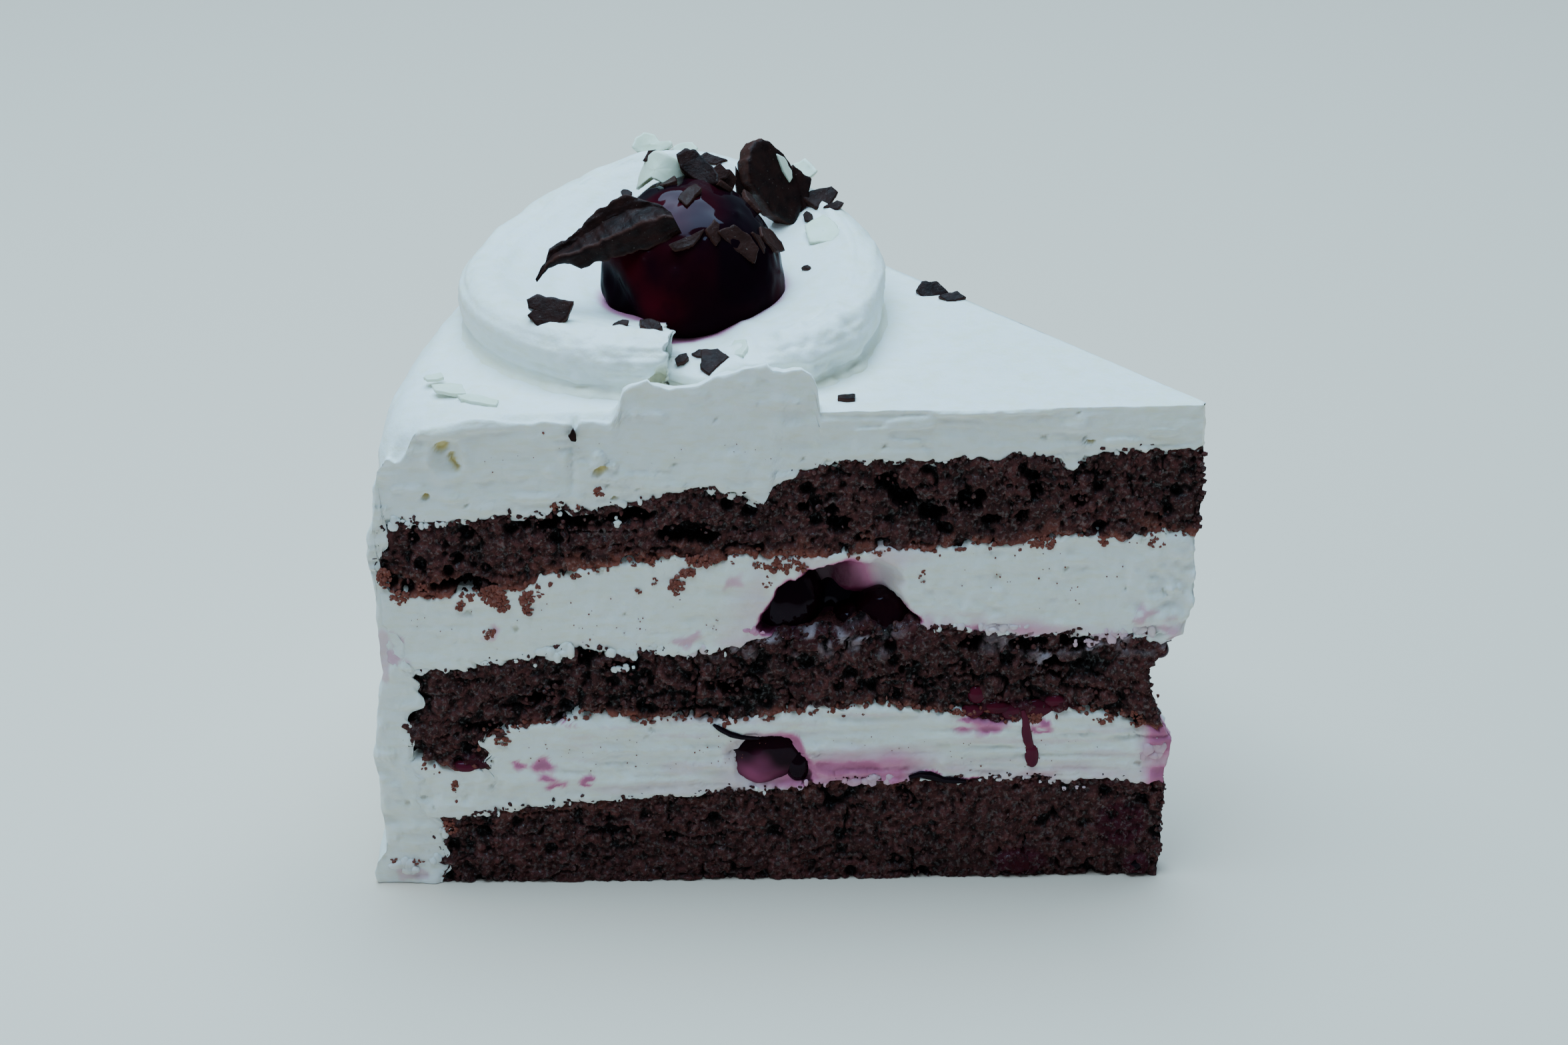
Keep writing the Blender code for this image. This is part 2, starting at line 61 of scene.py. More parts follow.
# Boundaries of the layers in the first cut face, as (along, height)
BOTTOM_SPONGE_TOP = ((8, 11.0), (16, 12.4), (30, 13.8), (50, 15.0), (70, 16.8), (95, 17.0), (120, 16.4))
MIDDLE_SPONGE_FLOOR = (
    (5, 21.5), (8, 19.6), (13.5, 19.2), (15.5, 25.0), (20, 26.2), (30, 28.2), (52, 27.2), (60, 28.0),
    (68, 29.4), (90, 28.3), (93, 26.6), (98, 26.4), (101, 28.4), (110, 27.8), (120, 25.5),
)
MIDDLE_SPONGE_TOP = (
    (5, 36.0), (20, 37.0), (27, 39.4), (31, 40.6), (36, 38.8), (47, 38.4), (58, 40.6), (70, 42.6),
    (84, 42.6), (95, 41.4), (108, 41.0), (120, 40.5),
)
TOP_SPONGE_FLOOR = (
    (2, 49.0), (8, 48.2), (20, 49.0), (32, 52.4), (45, 53.8), (60, 53.8), (75, 54.9), (95, 56.0),
    (120, 57.2),
)
TOP_SPONGE_TOP = (
    (0, 60.3), (10, 60.3), (20, 61.0), (30, 62.1), (40, 63.3), (44, 63.4), (47.5, 65.2), (50, 65.3),
    (53, 63.6), (57, 63.4), (58.5, 65.8), (62, 67.2), (66, 69.0), (80, 69.3), (95, 69.3), (99.8, 69.5),
    (100.7, 67.6), (101.4, 66.5), (102.2, 67.0), (103.1, 69.6), (110, 70.1), (121, 71.0),
)
# How far the coat's side stands out, and how far the tip is cut back, at each height
SIDE_BULGE = (
    (0, 0.9), (1.7, 1.6), (3.6, 1.3), (5.5, -0.1), (9, -0.2), (17, 0.2), (22, 1.0), (26, 0.7), (33, -0.2),
    (36, -1.0), (47, -1.0), (55, 0.3), (60, -0.6), (64, -1.2), (73, -1.8), (80, -2.0),
)
TIP_RADIUS = (
    (0, 4.3), (3, 3.9), (14, 3.7), (17, 4.0), (20, 3.4), (23, 3.0), (26, 4.6), (30, 6.2), (35, 7.0),
    (38, 5.0), (40.4, 4.0), (41.2, 2.0), (46, 1.1), (52, 0.9), (56, 1.4), (58, 0.7), (62, 0.5),
    (70.5, 0.5), (73, 1.2), (77.5, 0.9),
)

# Height of the cream that stands on the cut edge
LIP = (
    (35.5, 0.0), (36.4, 2.0), (37.1, 4.4), (38.5, 5.0), (40.7, 5.6), (41.3, 4.9), (44.0, 4.5),
    (48.0, 4.8), (49.5, 5.5), (51.5, 6.3), (53.8, 6.9), (55.5, 7.0), (57.7, 7.6), (58.3, 6.7),
    (60.5, 6.9), (62.6, 6.8), (64.0, 5.6), (64.8, 3.6), (65.1, 0.0),
)
# How far the cut edge lies under the cake's own top, along it
EDGE_DROP = (
    (0, 3.2), (4.3, 3.6), (6.8, 2.6), (8.5, 0.9), (12, 0.5), (17, 0.5), (24, 1.1), (28, 1.7), (29.6, 1.9),
    (30.1, 2.7), (30.6, 1.2), (31, 0.6), (35, 1.2), (36, 0.8), (60, 0.3), (80, 0.1), (121, 0.1),
)
# How the rim rises and falls round the cake, by angle in degrees
RIM_LIFT = (
    (0, -1.5), (8, -1.3), (13, -0.4), (18, 1.0), (22.5, 2.4), (29, 2.4), (35, 1.0), (43, 0.0), (53, 0.0),
)

RING_MIDDLE = (44.0, 37.5)
RING_RADIUS = 32.0
RING_SEAM = math.radians(-91.0)
RING_WALL = 5.0
RING_DISH = 2.6
# Height of the ring's crest and how much wider it gets, by its turn from the seam
RING_CREST = (
    (0.0, 3.2), (0.03, 3.6), (0.06, 4.9), (0.09, 7.4), (0.13, 8.2), (0.25, 9.8), (0.4, 14.0),
    (0.47, 16.4), (0.53, 16.9), (0.58, 14.3), (0.64, 10.9), (0.7, 9.2), (0.75, 8.7), (0.92, 8.6),
    (1.0, 8.4),
)
RING_SWELL = (
    (0.0, -1.5), (0.06, 0.6), (0.1, 3.4), (0.15, 2.6), (0.22, 0.2), (0.5, 0.6), (0.75, 0.2), (1.0, 0.2),
)

CHERRY_AT = (47.0, 33.0, 83.4)
CHERRY_SIZE = (13.7, 14.3, 16.3, 5.0)  # half its length, depth, height above and height below

# Drops of glaze that catch the light, as (along, depth, height, size)
GLAZE_DROPS = (
    (40.4, 21.4, 93.0, 0.8), (44.6, 19.6, 91.2, 0.7), (47.2, 21.6, 95.0, 0.7), (49.4, 21.8, 95.0, 0.6),
    (53.8, 27.6, 97.2, 0.6),
)

MASK = 0xFFFFFFFF


# Numbers that look random but come out the same on every run


def scatter(cell, seed):
    """One number from 0 to 1 for each whole-number lattice point."""
    n = cell[..., 0] * 374761393 + cell[..., 1] * 668265263 + cell[..., 2] * 1103515245 + seed * 974711
    n = n & MASK
    n = ((n ^ (n >> 13)) * 1274126177) & MASK
    n = ((n ^ (n >> 16)) * 2246822519) & MASK
    return (n ^ (n >> 15)) / MASK


def noise(points, size, seed=0):
    """Smooth noise from -1 to 1 with bumps of this size. Three sizes stretch it."""
    q = points / np.asarray(size, dtype=float)
    base = np.floor(q).astype(np.int64)
    f = q - base
    f = f * f * f * (f * (f * 6 - 15) + 10)
    total = np.zeros(len(points))
    for corner in np.ndindex(2, 2, 2):
        near = np.where(np.array(corner), f, 1 - f).prod(axis=-1)
        total += near * scatter(base + np.array(corner), seed)
    return 2 * total - 1


def fractal(points, size, octaves, seed=0):
    size = np.asarray(size, dtype=float)
    total = np.zeros(len(points))
    for octave in range(octaves):
        total += noise(points, size / 2 ** octave, seed + 17 * octave) / 1.9 ** octave
    return total / 1.6


def cells(points, size, seed=0):
    """Distance to the nearest of many scattered seeds, in units of the size, and that seed's number."""
    q = points / np.asarray(size, dtype=float)
    base = np.floor(q).astype(np.int64)
    best = np.full(len(points), 9.0)
    mark = np.zeros(len(points))
    for step in np.ndindex(3, 3, 3):
        cell = base + np.array(step) - 1
        spot = cell + np.stack([scatter(cell, seed + k) for k in (1, 2, 3)], axis=-1)
        distance = np.linalg.norm(q - spot, axis=-1)
        closer = distance < best
        best = np.where(closer, distance, best)
        mark = np.where(closer, scatter(cell, seed + 4), mark)
    return best, mark


def ramp(x, low, high):
    """0 below low, 1 above high, smooth between. High may be the smaller one."""
    t = np.clip((x - low) / (high - low), 0.0, 1.0)
    return t * t * (3 - 2 * t)


def blend(a, b, share):
    return a + (b - a) * share


def curve(points, x):
    places, values = zip(*points)
    return np.interp(x, places, values)


def wobble(points, size, seeds):
    """Smooth noise in three directions, which makes the outline of a marked place uneven."""
    return np.stack([noise(points, size, seed) for seed in seeds], axis=-1)


def near_front(points):
    """1 at the first cut face, 0 from 5 mm behind it."""
    return ramp(points[:, 1], 5.0, 2.0)


# Pieces


def add_piece(name, points, faces, finish, slot, replaces=(), marks=None):
    """A mesh of the object. Marks are numbers per point for its material."""
    mesh = bpy.data.meshes.new(name)
    mesh.from_pydata(((points - MIDDLE) * MM).tolist(), [], [tuple(face) for face in faces])
    for label, values in (marks or {}).items():
        layer = mesh.attributes.new(label, "FLOAT", "POINT")
        layer.data.foreach_set("value", np.ascontiguousarray(values, dtype=np.float32))
    mesh.validate()
    mesh.shade_smooth()
    mesh.materials.append(finish)
    made = bpy.data.objects.new(name, mesh)
    bpy.context.scene.collection.objects.link(made)
    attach(made, "root")
    if replaces:
        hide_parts(*replaces)
    return made


def grid_faces(rows, columns, loop=False, start=0):
    """Quads of a grid whose points run row by row."""
    r, c = np.meshgrid(np.arange(rows - 1), np.arange(columns if loop else columns - 1), indexing="ij")
    after = (c + 1) % columns
    here, below = r * columns, (r + 1) * columns
    quads = np.stack([here + c, here + after, below + after, below + c], axis=-1)
    return (quads.reshape(-1, 4) + start).tolist()


def polar(radius, angle, height):
    """Points as (along, depth, height)."""
    along = CAKE_RADIUS - radius * np.cos(angle)
    return np.stack([along, radius * np.sin(angle), height + 0 * radius], axis=-1)


def cake_top(along):
    return TIP_HEIGHT - TOP_SLOPE * (CAKE_RADIUS - along)


def stack_radius(height):
    return curve(STACK_RADIUS, height)


def tip_radius(height, angle):
    """The tip's end crosses the wedge squarely, so it is further out from the middle towards the back."""
    return curve(TIP_RADIUS, height) / np.cos(angle) ** 0.9


# Tears along a boundary between layers, as (height, size, seed)
TEARS = ((0.45, 3.3, 5), (0.42, 1.5, 7), (0.36, 0.8, 9), (0.2, 0.4, 13))


def boundary(points, radius, angle):
    """Height of a boundary between layers, ragged where the knife tore it."""
    along = CAKE_RADIUS - radius
    calm = blend(curve(points, 0.0), curve(points, CAKE_RADIUS), along / CAKE_RADIUS)
    behind = angle / WEDGE
    line = blend(curve(points, along), calm, 0.6 * np.sin(math.pi * behind / 2))
    spot = np.stack([along, 40 * behind, np.full_like(along, points[0][1])], axis=-1)
    line = line + 0.3 * noise(spot, 7.0, 3)
    return line + sum(tall * noise(spot, size, seed) for tall, size, seed in TEARS)


def side_radius(height, angle):
    """Radius of the coat's outside."""
    bulge = curve(SIDE_BULGE, height)
    spot = np.stack([60 * angle, np.full_like(angle, 3.0), height], axis=-1)
    return CAKE_RADIUS + blend(bulge, 0.5 * bulge, angle / WEDGE) + 0.4 * noise(spot, 14.0, 11)


RIM_CELLS = 60  # points round a layer's hidden side
TIP_CELLS = 14  # points across the tip


def perimeter(spacing):
    """The way round a layer: share from the side (0) to the tip (1), angle, and the way out of it."""
    front = int(CAKE_RADIUS / spacing)
    back = int(CAKE_RADIUS / (1.6 * spacing))
    tip_angles = np.linspace(0, WEDGE, TIP_CELLS + 2)[1:-1]
    rim_angles = np.linspace(WEDGE, 0, RIM_CELLS)[1:-1]
    to_tip, from_tip = np.linspace(0, 1, front), np.linspace(1, 0, back)
    share = np.concatenate([to_tip, np.ones(TIP_CELLS), from_tip, np.zeros(RIM_CELLS - 2)])
    angle = np.concatenate([np.zeros(front), tip_angles, np.full(back, WEDGE), rim_angles])
    out = np.concatenate(
        [
            np.tile([0.0, -1.0], (front, 1)),
            np.stack([np.sin(tip_angles * 1.7), -np.cos(tip_angles * 1.7)], axis=-1),
            np.tile([math.sin(WEDGE), math.cos(WEDGE)], (back, 1)),
            np.stack([-np.cos(rim_angles), np.sin(rim_angles)], axis=-1),
        ]
    )
    soft = sum(np.roll(out, step, axis=0) for step in (-2, -1, 0, 1, 2))
    return share, angle, soft / np.linalg.norm(soft, axis=-1, keepdims=True)


TUCK = 0.7  # how far a layer reaches past its boundary, behind its neighbour
SPINE = (14.0, 108.0)  # radii between which a layer closes above and below
AT_CUT, AT_SIDE = 0.7, 2.4  # how far a layer stays inside the coat at the cut faces, and elsewhere


def layer(name, floor, ceiling, spacing, relief, finish, slot, replaces, reach=0.0):
    """A sponge or a filling: a dense wall round it, closed above and below by coarse rows."""
    share, angle, out = perimeter(spacing)
    about_radius = blend(119.0, 0.0, share)
    low = boundary(floor, about_radius, angle) if floor else np.zeros_like(share)
    high = boundary(ceiling, about_radius, angle)
    rows = int(np.mean(high - low) / spacing)
    up = np.linspace(0, 1, rows)[:, None]
    height = blend(low - (TUCK if floor else 0.0), high + TUCK, up)
    wide_share = np.broadcast_to(share, height.shape)
    wide_angle = np.broadcast_to(angle, height.shape)
    end = np.stack([height, 30 * wide_angle, 0 * height], axis=-1).reshape(-1, 3)
    uneven = (0.9 * noise(end, 2.2, 15) + 0.8 * noise(end, 0.9, 16)).reshape(height.shape)
    outside = side_radius(height.reshape(-1), wide_angle.reshape(-1)).reshape(height.shape)
    deep = ramp(wide_angle, 0.0, 0.05) * ramp(wide_angle, WEDGE, WEDGE - 0.05)
    side = np.minimum(stack_radius(height) + reach + uneven, outside - blend(AT_CUT, AT_SIDE, deep))
    tip = tip_radius(height, wide_angle)
    radius = blend(side, tip, wide_share)
    base = polar(radius, wide_angle, height).reshape(-1, 3)
    edge = np.minimum(height - low if floor else 9.0, high - height).reshape(-1)
    out_of = np.broadcast_to(np.pad(out, ((0, 0), (0, 1))), (*height.shape, 3)).reshape(-1, 3)
    push, marks = relief(base, edge)
    push = push - 1.3 * ramp(edge, 0.2, -TUCK)
    shake = 0.14 * np.stack([noise(base, 0.7, 17), 0 * push, noise(base, 0.7, 18)], axis=-1)
    points = base + out_of * push[:, None] + shake * ramp(edge, 0.0, 1.0)[:, None]
    if not floor:
        points[:, 2] = np.maximum(points[:, 2], 0.0)
    columns = len(share)
    faces = grid_faces(rows, columns, loop=True)
    grid = points.reshape(rows, columns, 3)
    spine_radius = np.clip(radius, *SPINE)
    blocks = [points]
    start = rows * columns
    for row, heights in ((0, low), (rows - 1, high)):
        spine = polar(spine_radius[row], np.full(columns, WEDGE / 2), heights)
        cap = np.concatenate([blend(grid[row], spine, part) for part in (0.0, 0.06, 0.3, 1.0)])
        blocks.append(cap)
        quads = np.array(grid_faces(4, columns, loop=True, start=start))
        faces += (quads if row else quads[:, ::-1]).tolist()
        start += len(cap)
    marks = {label: np.pad(values, (0, start - len(values))) for label, values in marks.items()}
    return add_piece(name, np.concatenate(blocks), faces, finish, slot, replaces, marks)


def spots(points, places, soft=0.6):
    """1 inside soft ellipses on the first cut face: (along, height, half length, half height)."""
    total = np.zeros(len(points))
    for along, height, half_length, half_height in places:
        reach = ((points[:, 0] - along) / half_length) ** 2 + ((points[:, 2] - height) / half_height) ** 2
        total = np.maximum(total, ramp(reach, 1.85 - soft, soft))
    return total * ramp(points[:, 1], 5.0, 1.5)


# Caverns of the sponges on the first cut face
SPONGE_CAVERNS = (
    (75.4, 65.4, 1.3, 1.5), (77.2, 63.2, 1.7, 1.5), (81.6, 61.2, 1.9, 1.2), (87.2, 62.8, 1.9, 1.0),
    (96.4, 63.9, 1.5, 1.1), (94.2, 61.0, 1.2, 0.8), (102.7, 62.5, 1.1, 0.9), (102.6, 69.3, 0.7, 0.6),
    (90.6, 60.2, 1.4, 0.6), (66.8, 60.0, 0.9, 1.8), (68.6, 59.0, 1.6, 0.6), (63.4, 62.6, 1.1, 0.7),
    (46.4, 57.8, 4.6, 1.5), (37.6, 60.6, 3.4, 1.1), (28.8, 60.0, 4.2, 1.2), (13.0, 50.2, 5.0, 0.7),
    (22.0, 60.0, 1.4, 0.9), (31.6, 38.2, 2.6, 1.5), (36.0, 36.6, 1.6, 0.7), (43.6, 38.0, 1.6, 0.7),
    (96.0, 39.9, 2.4, 1.1), (88.0, 40.0, 2.0, 0.9), (103.8, 40.0, 2.8, 1.4), (99.6, 36.0, 2.2, 0.9),
    (52.0, 33.0, 2.4, 0.8), (24.0, 31.5, 2.4, 1.0),
)


def crumb_relief(points, edge, clump, lumpy, pores, seed):
    """Torn sponge: rounded clumps of crumb with pits between them, and caverns."""
    near, mark = cells(points, clump, seed)
    fine, fine_mark = cells(points, 0.45 * clump, seed + 10)
    tiny, _ = cells(points, 0.55, seed + 20)
    pore, pore_mark = cells(points, 2.9, seed + 30)
    bubble, bubble_mark = cells(points, 1.25, seed + 40)
    bent = points + 0.9 * wobble(points, 2.0, range(seed, seed + 3))
    bent += 0.35 * wobble(points, 0.8, range(seed + 3, seed + 6))
    push = lumpy * (0.5 * fractal(points, 5.0, 2, seed + 6) + 0.95 * (0.45 - near) + 0.6 * (mark - 0.5))
    push += lumpy * (0.7 * (0.45 - fine) + 0.4 * (fine_mark - 0.5)) + 0.3 * (0.45 - tiny)
    crack = np.abs(noise(points, (4.5, 4.5, 2.2), seed + 50))
    push -= lumpy * 1.5 * ramp(crack, 0.09, 0.0) * ramp(noise(points, 5.0, seed + 51), -0.2, 0.3)
    large = ramp(pore, 0.46, 0.22) * (pore_mark < 0.3)
    small = ramp(bubble, 0.42, 0.2) * (bubble_mark < 0.35)
    push -= pores * (1.5 * large + 0.7 * small)
    push -= 3.2 * spots(bent, SPONGE_CAVERNS)
    push = np.minimum(push, 0.38)
    # Painted shade: the lower the relief sits, the darker the sponge is coloured.
    recess_shade = ramp(push, 0.3, -1.3)
    rust = ramp(edge, 1.8, 0.2) * ramp(noise(points, 4.0, seed + 52), -0.4, 0.4)
    return push, {"recess_shade": recess_shade, "rust": rust}


def add_stain(marks, stain):
    marks["stain"] = np.clip(stain, 0, 1)
    return marks


FOOT_STAINS = ((96.0, 2.6, 4.2, 2.6), (113.6, 2.0, 2.2, 2.0), (111.0, 9.0, 4.0, 4.0))
FOOT_LUMPS = ((96.0, 2.4, 3.4, 2.2), (113.6, 1.8, 1.9, 1.7))
JAM = ((13.0, 20.6, 3.0, 1.5), (93.5, 28.4, 6.0, 2.0), (99.0, 28.8, 5.0, 2.2))
SMEARS = (
    (63.6, 42.2, 1.5, 0.9), (68.8, 41.4, 1.1, 1.2), (57.4, 41.4, 2.2, 1.0), (72.0, 40.6, 1.2, 0.5),
    (105.0, 39.2, 2.2, 0.7), (109.0, 40.8, 2.6, 0.9), (98.4, 37.0, 1.4, 0.7),
)


def bottom_sponge_relief(points, edge):
    push, marks = crumb_relief(points, edge, 1.7, 0.80, 0.6, 2100)
    marks["rust"] *= 0.3
    stain = spots(points, FOOT_STAINS)
    stain += near_front(points) * ramp(points[:, 2], 14.5, 17.0) * ramp(points[:, 0], 76, 84) * 0.4
    return push + 0.5 * spots(points, FOOT_LUMPS), add_stain(marks, stain)


def middle_sponge_relief(points, edge):
    push, marks = crumb_relief(points, edge, 2.3, 1.15, 0.7, 3100)
    along, height = points[:, 0], points[:, 2]
    marks["rust"] *= ramp(height, 33.0, 28.0)
    front = near_front(points)
    soaked = front * ramp(along, 52, 60) * ramp(along, 84, 76) * ramp(height, 38, 41.5)
    frost = front * ramp(height, 36.5, 40.5) * ramp(noise(points, 2.2, 81), 0.0, 0.5)
    frost *= np.maximum(ramp(along, 46, 54) * ramp(along, 82, 70), ramp(along, 86, 96))
    smears = spots(points + 0.9 * wobble(points, 1.3, (83, 84, 85)), SMEARS, 0.2)
    marks["frost"] = np.clip(np.maximum(0.5 * frost, 0.7 * smears), 0, 1)
    return push, add_stain(marks, spots(points, JAM) + 0.55 * soaked)


def top_sponge_relief(points, edge):
    push, marks = crumb_relief(points, edge, 1.9, 0.80, 1.0, 4100)
    low = ramp(points[:, 2] - curve(TOP_SPONGE_FLOOR, points[:, 0]), 5.0, 1.0)
    marks["rust"] = np.maximum(marks["rust"] * low, 0.6 * low * ramp(noise(points, 3.0, 91), 0.1, 0.6))
    return push, add_stain(marks, np.zeros(len(points)))


def cream_relief(points, stroke=1.0):
    """Cream as the knife left it: low strokes along the cut, with pinholes and small tears."""
    push = 0.20 * noise(points, (11.0, 5.0, 2.2), 101)
    push += 0.10 * stroke * noise(points, (7.0, 4.0, 0.7), 103)
    push += 0.13 * fractal(points, 2.2, 3, 105) + 0.07 * noise(points, 0.9, 104)
    hole, mark = cells(points, 2.7, 107)
    size = 0.05 + 0.12 * scatter(np.floor(mark[:, None] * 997 + np.arange(3)).astype(np.int64), 108)
    pinholes = ramp(hole, size + 0.05, size) * (mark < 0.22)
    torn = ramp(noise(points, 6.0, 109), 0.15, 0.5)
    push += torn * 0.42 * fractal(points, (2.4, 2.0, 1.3), 2, 111)
    push -= 0.5 * pinholes
    # The second value is painted shade for the pinholes, which the cream's colour tints yellow.
    return push, 0.15 * pinholes


# The hollow that the upper cherries sit in, as (along, height) round its edge
HOLLOW = (
    (55.4, 42.4), (56.6, 45.2), (59.0, 49.2), (62.6, 51.8), (66.0, 53.0), (70.2, 54.0), (74.6, 53.8),
    (77.0, 52.2), (78.0, 49.6), (78.7, 46.8), (80.6, 43.2), (79.0, 41.4), (66.0, 40.6), (57.0, 41.0),
)
LOWER_HOLLOW = (
    (50.6, 22.2), (52.8, 24.6), (56.0, 25.4), (59.6, 25.4), (62.2, 24.0), (64.0, 20.6), (65.6, 17.4),
    (64.0, 15.4), (57.0, 15.2), (53.6, 16.4), (52.2, 19.0),
)


def inside(points, outline):
    """Distance in from an outline on the first cut face, below 0 outside it."""
    shape = np.array(outline)
    along, height = points[:, 0], points[:, 2]
    nearest = np.full(len(points), 99.0)
    odd = np.zeros(len(points), dtype=bool)
    for a, b in zip(shape, np.roll(shape, -1, axis=0)):
        span = b - a
        t = np.clip(((along - a[0]) * span[0] + (height - a[1]) * span[1]) / (span @ span), 0, 1)
        nearest = np.minimum(nearest, np.hypot(along - a[0] - t * span[0], height - a[1] - t * span[1]))
        crosses = (a[1] > height) != (b[1] > height)
        at = a[0] + (height - a[1]) * span[0] / (span[1] if span[1] else 1e-9)
        odd ^= crosses & (along < at)
    return np.where(odd, nearest, -nearest)


# Cherry juice in the cream, as (along, height, half length, half height)
UPPER_BLOTS = (
    (2.8, 41.5, 1.2, 1.6), (3.2, 38.0, 1.0, 2.4), (45.6, 40.6, 1.9, 0.9), (46.5, 41.2, 1.0, 0.5),
    (113.0, 44.6, 1.4, 0.7), (53.0, 50.0, 2.0, 1.0), (17.2, 42.6, 1.2, 1.3), (116.5, 42.0, 2.0, 1.2),
)
LOWER_BLOTS = (
    (24.6, 19.6, 2.4, 1.1), (20.8, 19.9, 1.3, 0.7), (27.2, 26.8, 1.4, 0.6), (25.0, 17.2, 1.6, 1.0),
    (87.6, 27.0, 2.2, 1.2), (91.0, 26.4, 3.4, 1.3), (98.6, 25.4, 1.6, 1.0), (30.0, 16.6, 1.6, 0.6),
)
DARK_BLOTS = ((81.9, 17.6, 2.0, 1.1), (86.5, 16.9, 3.0, 0.4), (63.6, 17.0, 1.0, 1.6))


def upper_filling_relief(points, _):
    push, recess_shade = cream_relief(points)
    front = near_front(points)
    along, height = points[:, 0], points[:, 2]
    bent = points + 0.5 * wobble(points, 2.4, (112, 113, 114))
    way_in = np.where(front > 0, inside(bent, HOLLOW), -99.0)
    right_wall = ramp(along, 66.5, 70.5) * ramp(height, 44.0, 46.5)
    inwards = blend(7.5 * ramp(way_in, -0.15, 3.2), 6.0 * ramp(way_in, -0.15, 4.4), right_wall)
    push = np.where(way_in > -1.0, push * ramp(way_in, 0.5, -1.0), push) - inwards
    # The tip's end is bruised into folds.
    folds = 0.8 * fractal(points, (3.0, 3.0, 2.2), 3, 115) + 0.3 * noise(points, 1.1, 124) + 0.1
    push += ramp(along, 106, 117) * folds
    pale = blend(0.07, 0.62, ramp(along + 0.4 * (height - 50.0), 75.5, 69.0))
    # Deep in the hollow the stain reaches near black, which is painted shade where the cherries shade it;
    # the pink at its edge and the pale pink of the right wall are cherry juice.
    stain = blend(ramp(way_in, -0.4, 0.9) * 0.9, ramp(way_in, -0.3, 0.8) * pale, right_wall)
    halo = ramp(way_in, -8.0, 0.0) * ramp(noise(points, 5.0, 121), -0.5, 0.6) * 0.13
    low_edge = ramp(height - curve(MIDDLE_SPONGE_TOP, along), 3.4, 0.4)
    seep = front * low_edge * ramp(along, 79, 82) * ramp(along, 112, 92)
    seep *= ramp(noise(points, (4.0, 4.0, 1.5), 123), -0.7, 0.4)
    low_left = front * low_edge * ramp(along, 44, 54) * ramp(noise(points, 2.4, 125), -0.2, 0.6)
    blots = spots(points + 1.3 * wobble(points, 1.7, (119, 120, 122)), UPPER_BLOTS, 0.1)
    stain = np.maximum.reduce([stain, halo, 0.36 * seep, 0.16 * low_left, 0.26 * blots])
    return push, add_stain({"recess_shade": recess_shade}, stain)


def lower_filling_relief(points, _):
    along, height = points[:, 0], points[:, 2]
    push, recess_shade = cream_relief(points, 1.0 + 2.2 * ramp(along, 20, 34))
    front = near_front(points)
    bent = points + 0.5 * wobble(points, 2.2, (116, 117, 118))
    way_in = np.where(front > 0, inside(bent, LOWER_HOLLOW), -99.0)
    push = np.where(way_in > -1.0, push * ramp(way_in, 0.5, -1.0), push) - 1.1 * ramp(way_in, 0.0, 1.4)
    # Streaks that the knife dragged, lumps near the side, and a mashed end.
    streak = noise(points, (13.0, 5.0, 0.55), 127) + 0.6 * noise(points, (8.0, 5.0, 0.3), 128)
    push += 0.16 * streak * ramp(along, 22, 36)
    push += 0.4 * ramp(along, 30, 20) * ramp(height, 21, 17) * fractal(points, 1.8, 2, 129)
    push += ramp(along, 108, 116) * 0.6 * fractal(points, 2.4, 3, 130)
    stain = ramp(way_in, -0.4, 0.3) * blend(0.12, 0.40, ramp(along, 53, 61))
    over = height - curve(BOTTOM_SPONGE_TOP, along)
    mottle = ramp(noise(bent, (4.5, 4.5, 1.6), 131), -0.7, 0.5)
    blush = ramp(along, 61, 65) * ramp(along, 86, 77) * ramp(over, 7.2, 2.4) * (0.34 + 0.12 * mottle)
    faint = ramp(along, 76, 84) * ramp(over, 4.2, 0.6) * (0.06 + 0.16 * mottle)
    tip = ramp(along, 112.0, 115.5) * (0.28 + 0.2 * mottle)
    near_cherry = ramp(along, 46, 53) * ramp(along, 58, 55) * ramp(over, 7, 2) * 0.14
    strokes = ramp(noise(points, (9.0, 5.0, 0.8), 133), 0.15, 0.7) * ramp(along, 26, 32) * 0.09
    blots = spots(points + 1.3 * wobble(points, (2.4, 1.7, 1.2), (119, 120, 122)), LOWER_BLOTS, 0.1)
    pinks = (blush, faint, tip, near_cherry, strokes, 0.48 * blots)
    stain = np.maximum.reduce([stain, *(front * part for part in pinks), 0.9 * spots(bent, DARK_BLOTS)])
    return push, add_stain({"recess_shade": recess_shade}, stain)


# The coat and the ring


COAT_SPACING = 0.45
COAT_COLUMNS = 116
COAT_CUT_ROWS = 40


def coat_section(angle):
    """Rows from foot to tip: the inner radius and height, then the outer ones at each angle."""
    corner = CORNER_ROUND
    round_from = cake_top(corner) - corner
    inner_corner = curve(TOP_SPONGE_TOP, 0.0)
    rows = []
    for step in np.linspace(0, 1, int(round_from / COAT_SPACING)):
        height = round_from * step
        spot = np.array([[0.0, 0.0, inner_corner * step]])
        ragged = (1.0 * noise(spot, 3.1, 21) + 0.6 * noise(spot, 1.2, 22))[0]
        limit = float(np.min(side_radius(np.full_like(angle, inner_corner * step), angle))) - 0.9
        inside_at = (min(stack_radius(inner_corner * step) - 1.1 + ragged, limit), inner_corner * step)
        rows.append((*inside_at, side_radius(np.full_like(angle, height), angle), height))
    rim = rows[-1][2]
    for step in np.linspace(0, 1, int(corner * 1.5 / COAT_SPACING))[1:]:
        turn = math.pi / 2 * step
        outer = rim - corner * (1 - math.cos(turn)), round_from + corner * math.sin(turn)
        rows.append((rows[-1][0], None, *outer))
    inner, _, outer, _ = rows[-1]
    least = 0.9  # the tip's radius
    for step in np.linspace(0, 1, int((CAKE_RADIUS - corner) / COAT_SPACING))[1:]:
        outside = np.maximum(blend(outer, 0.0, step), least)
        rows.append((max(blend(inner, 0.0, step), least), None, outside, None))
    return rows


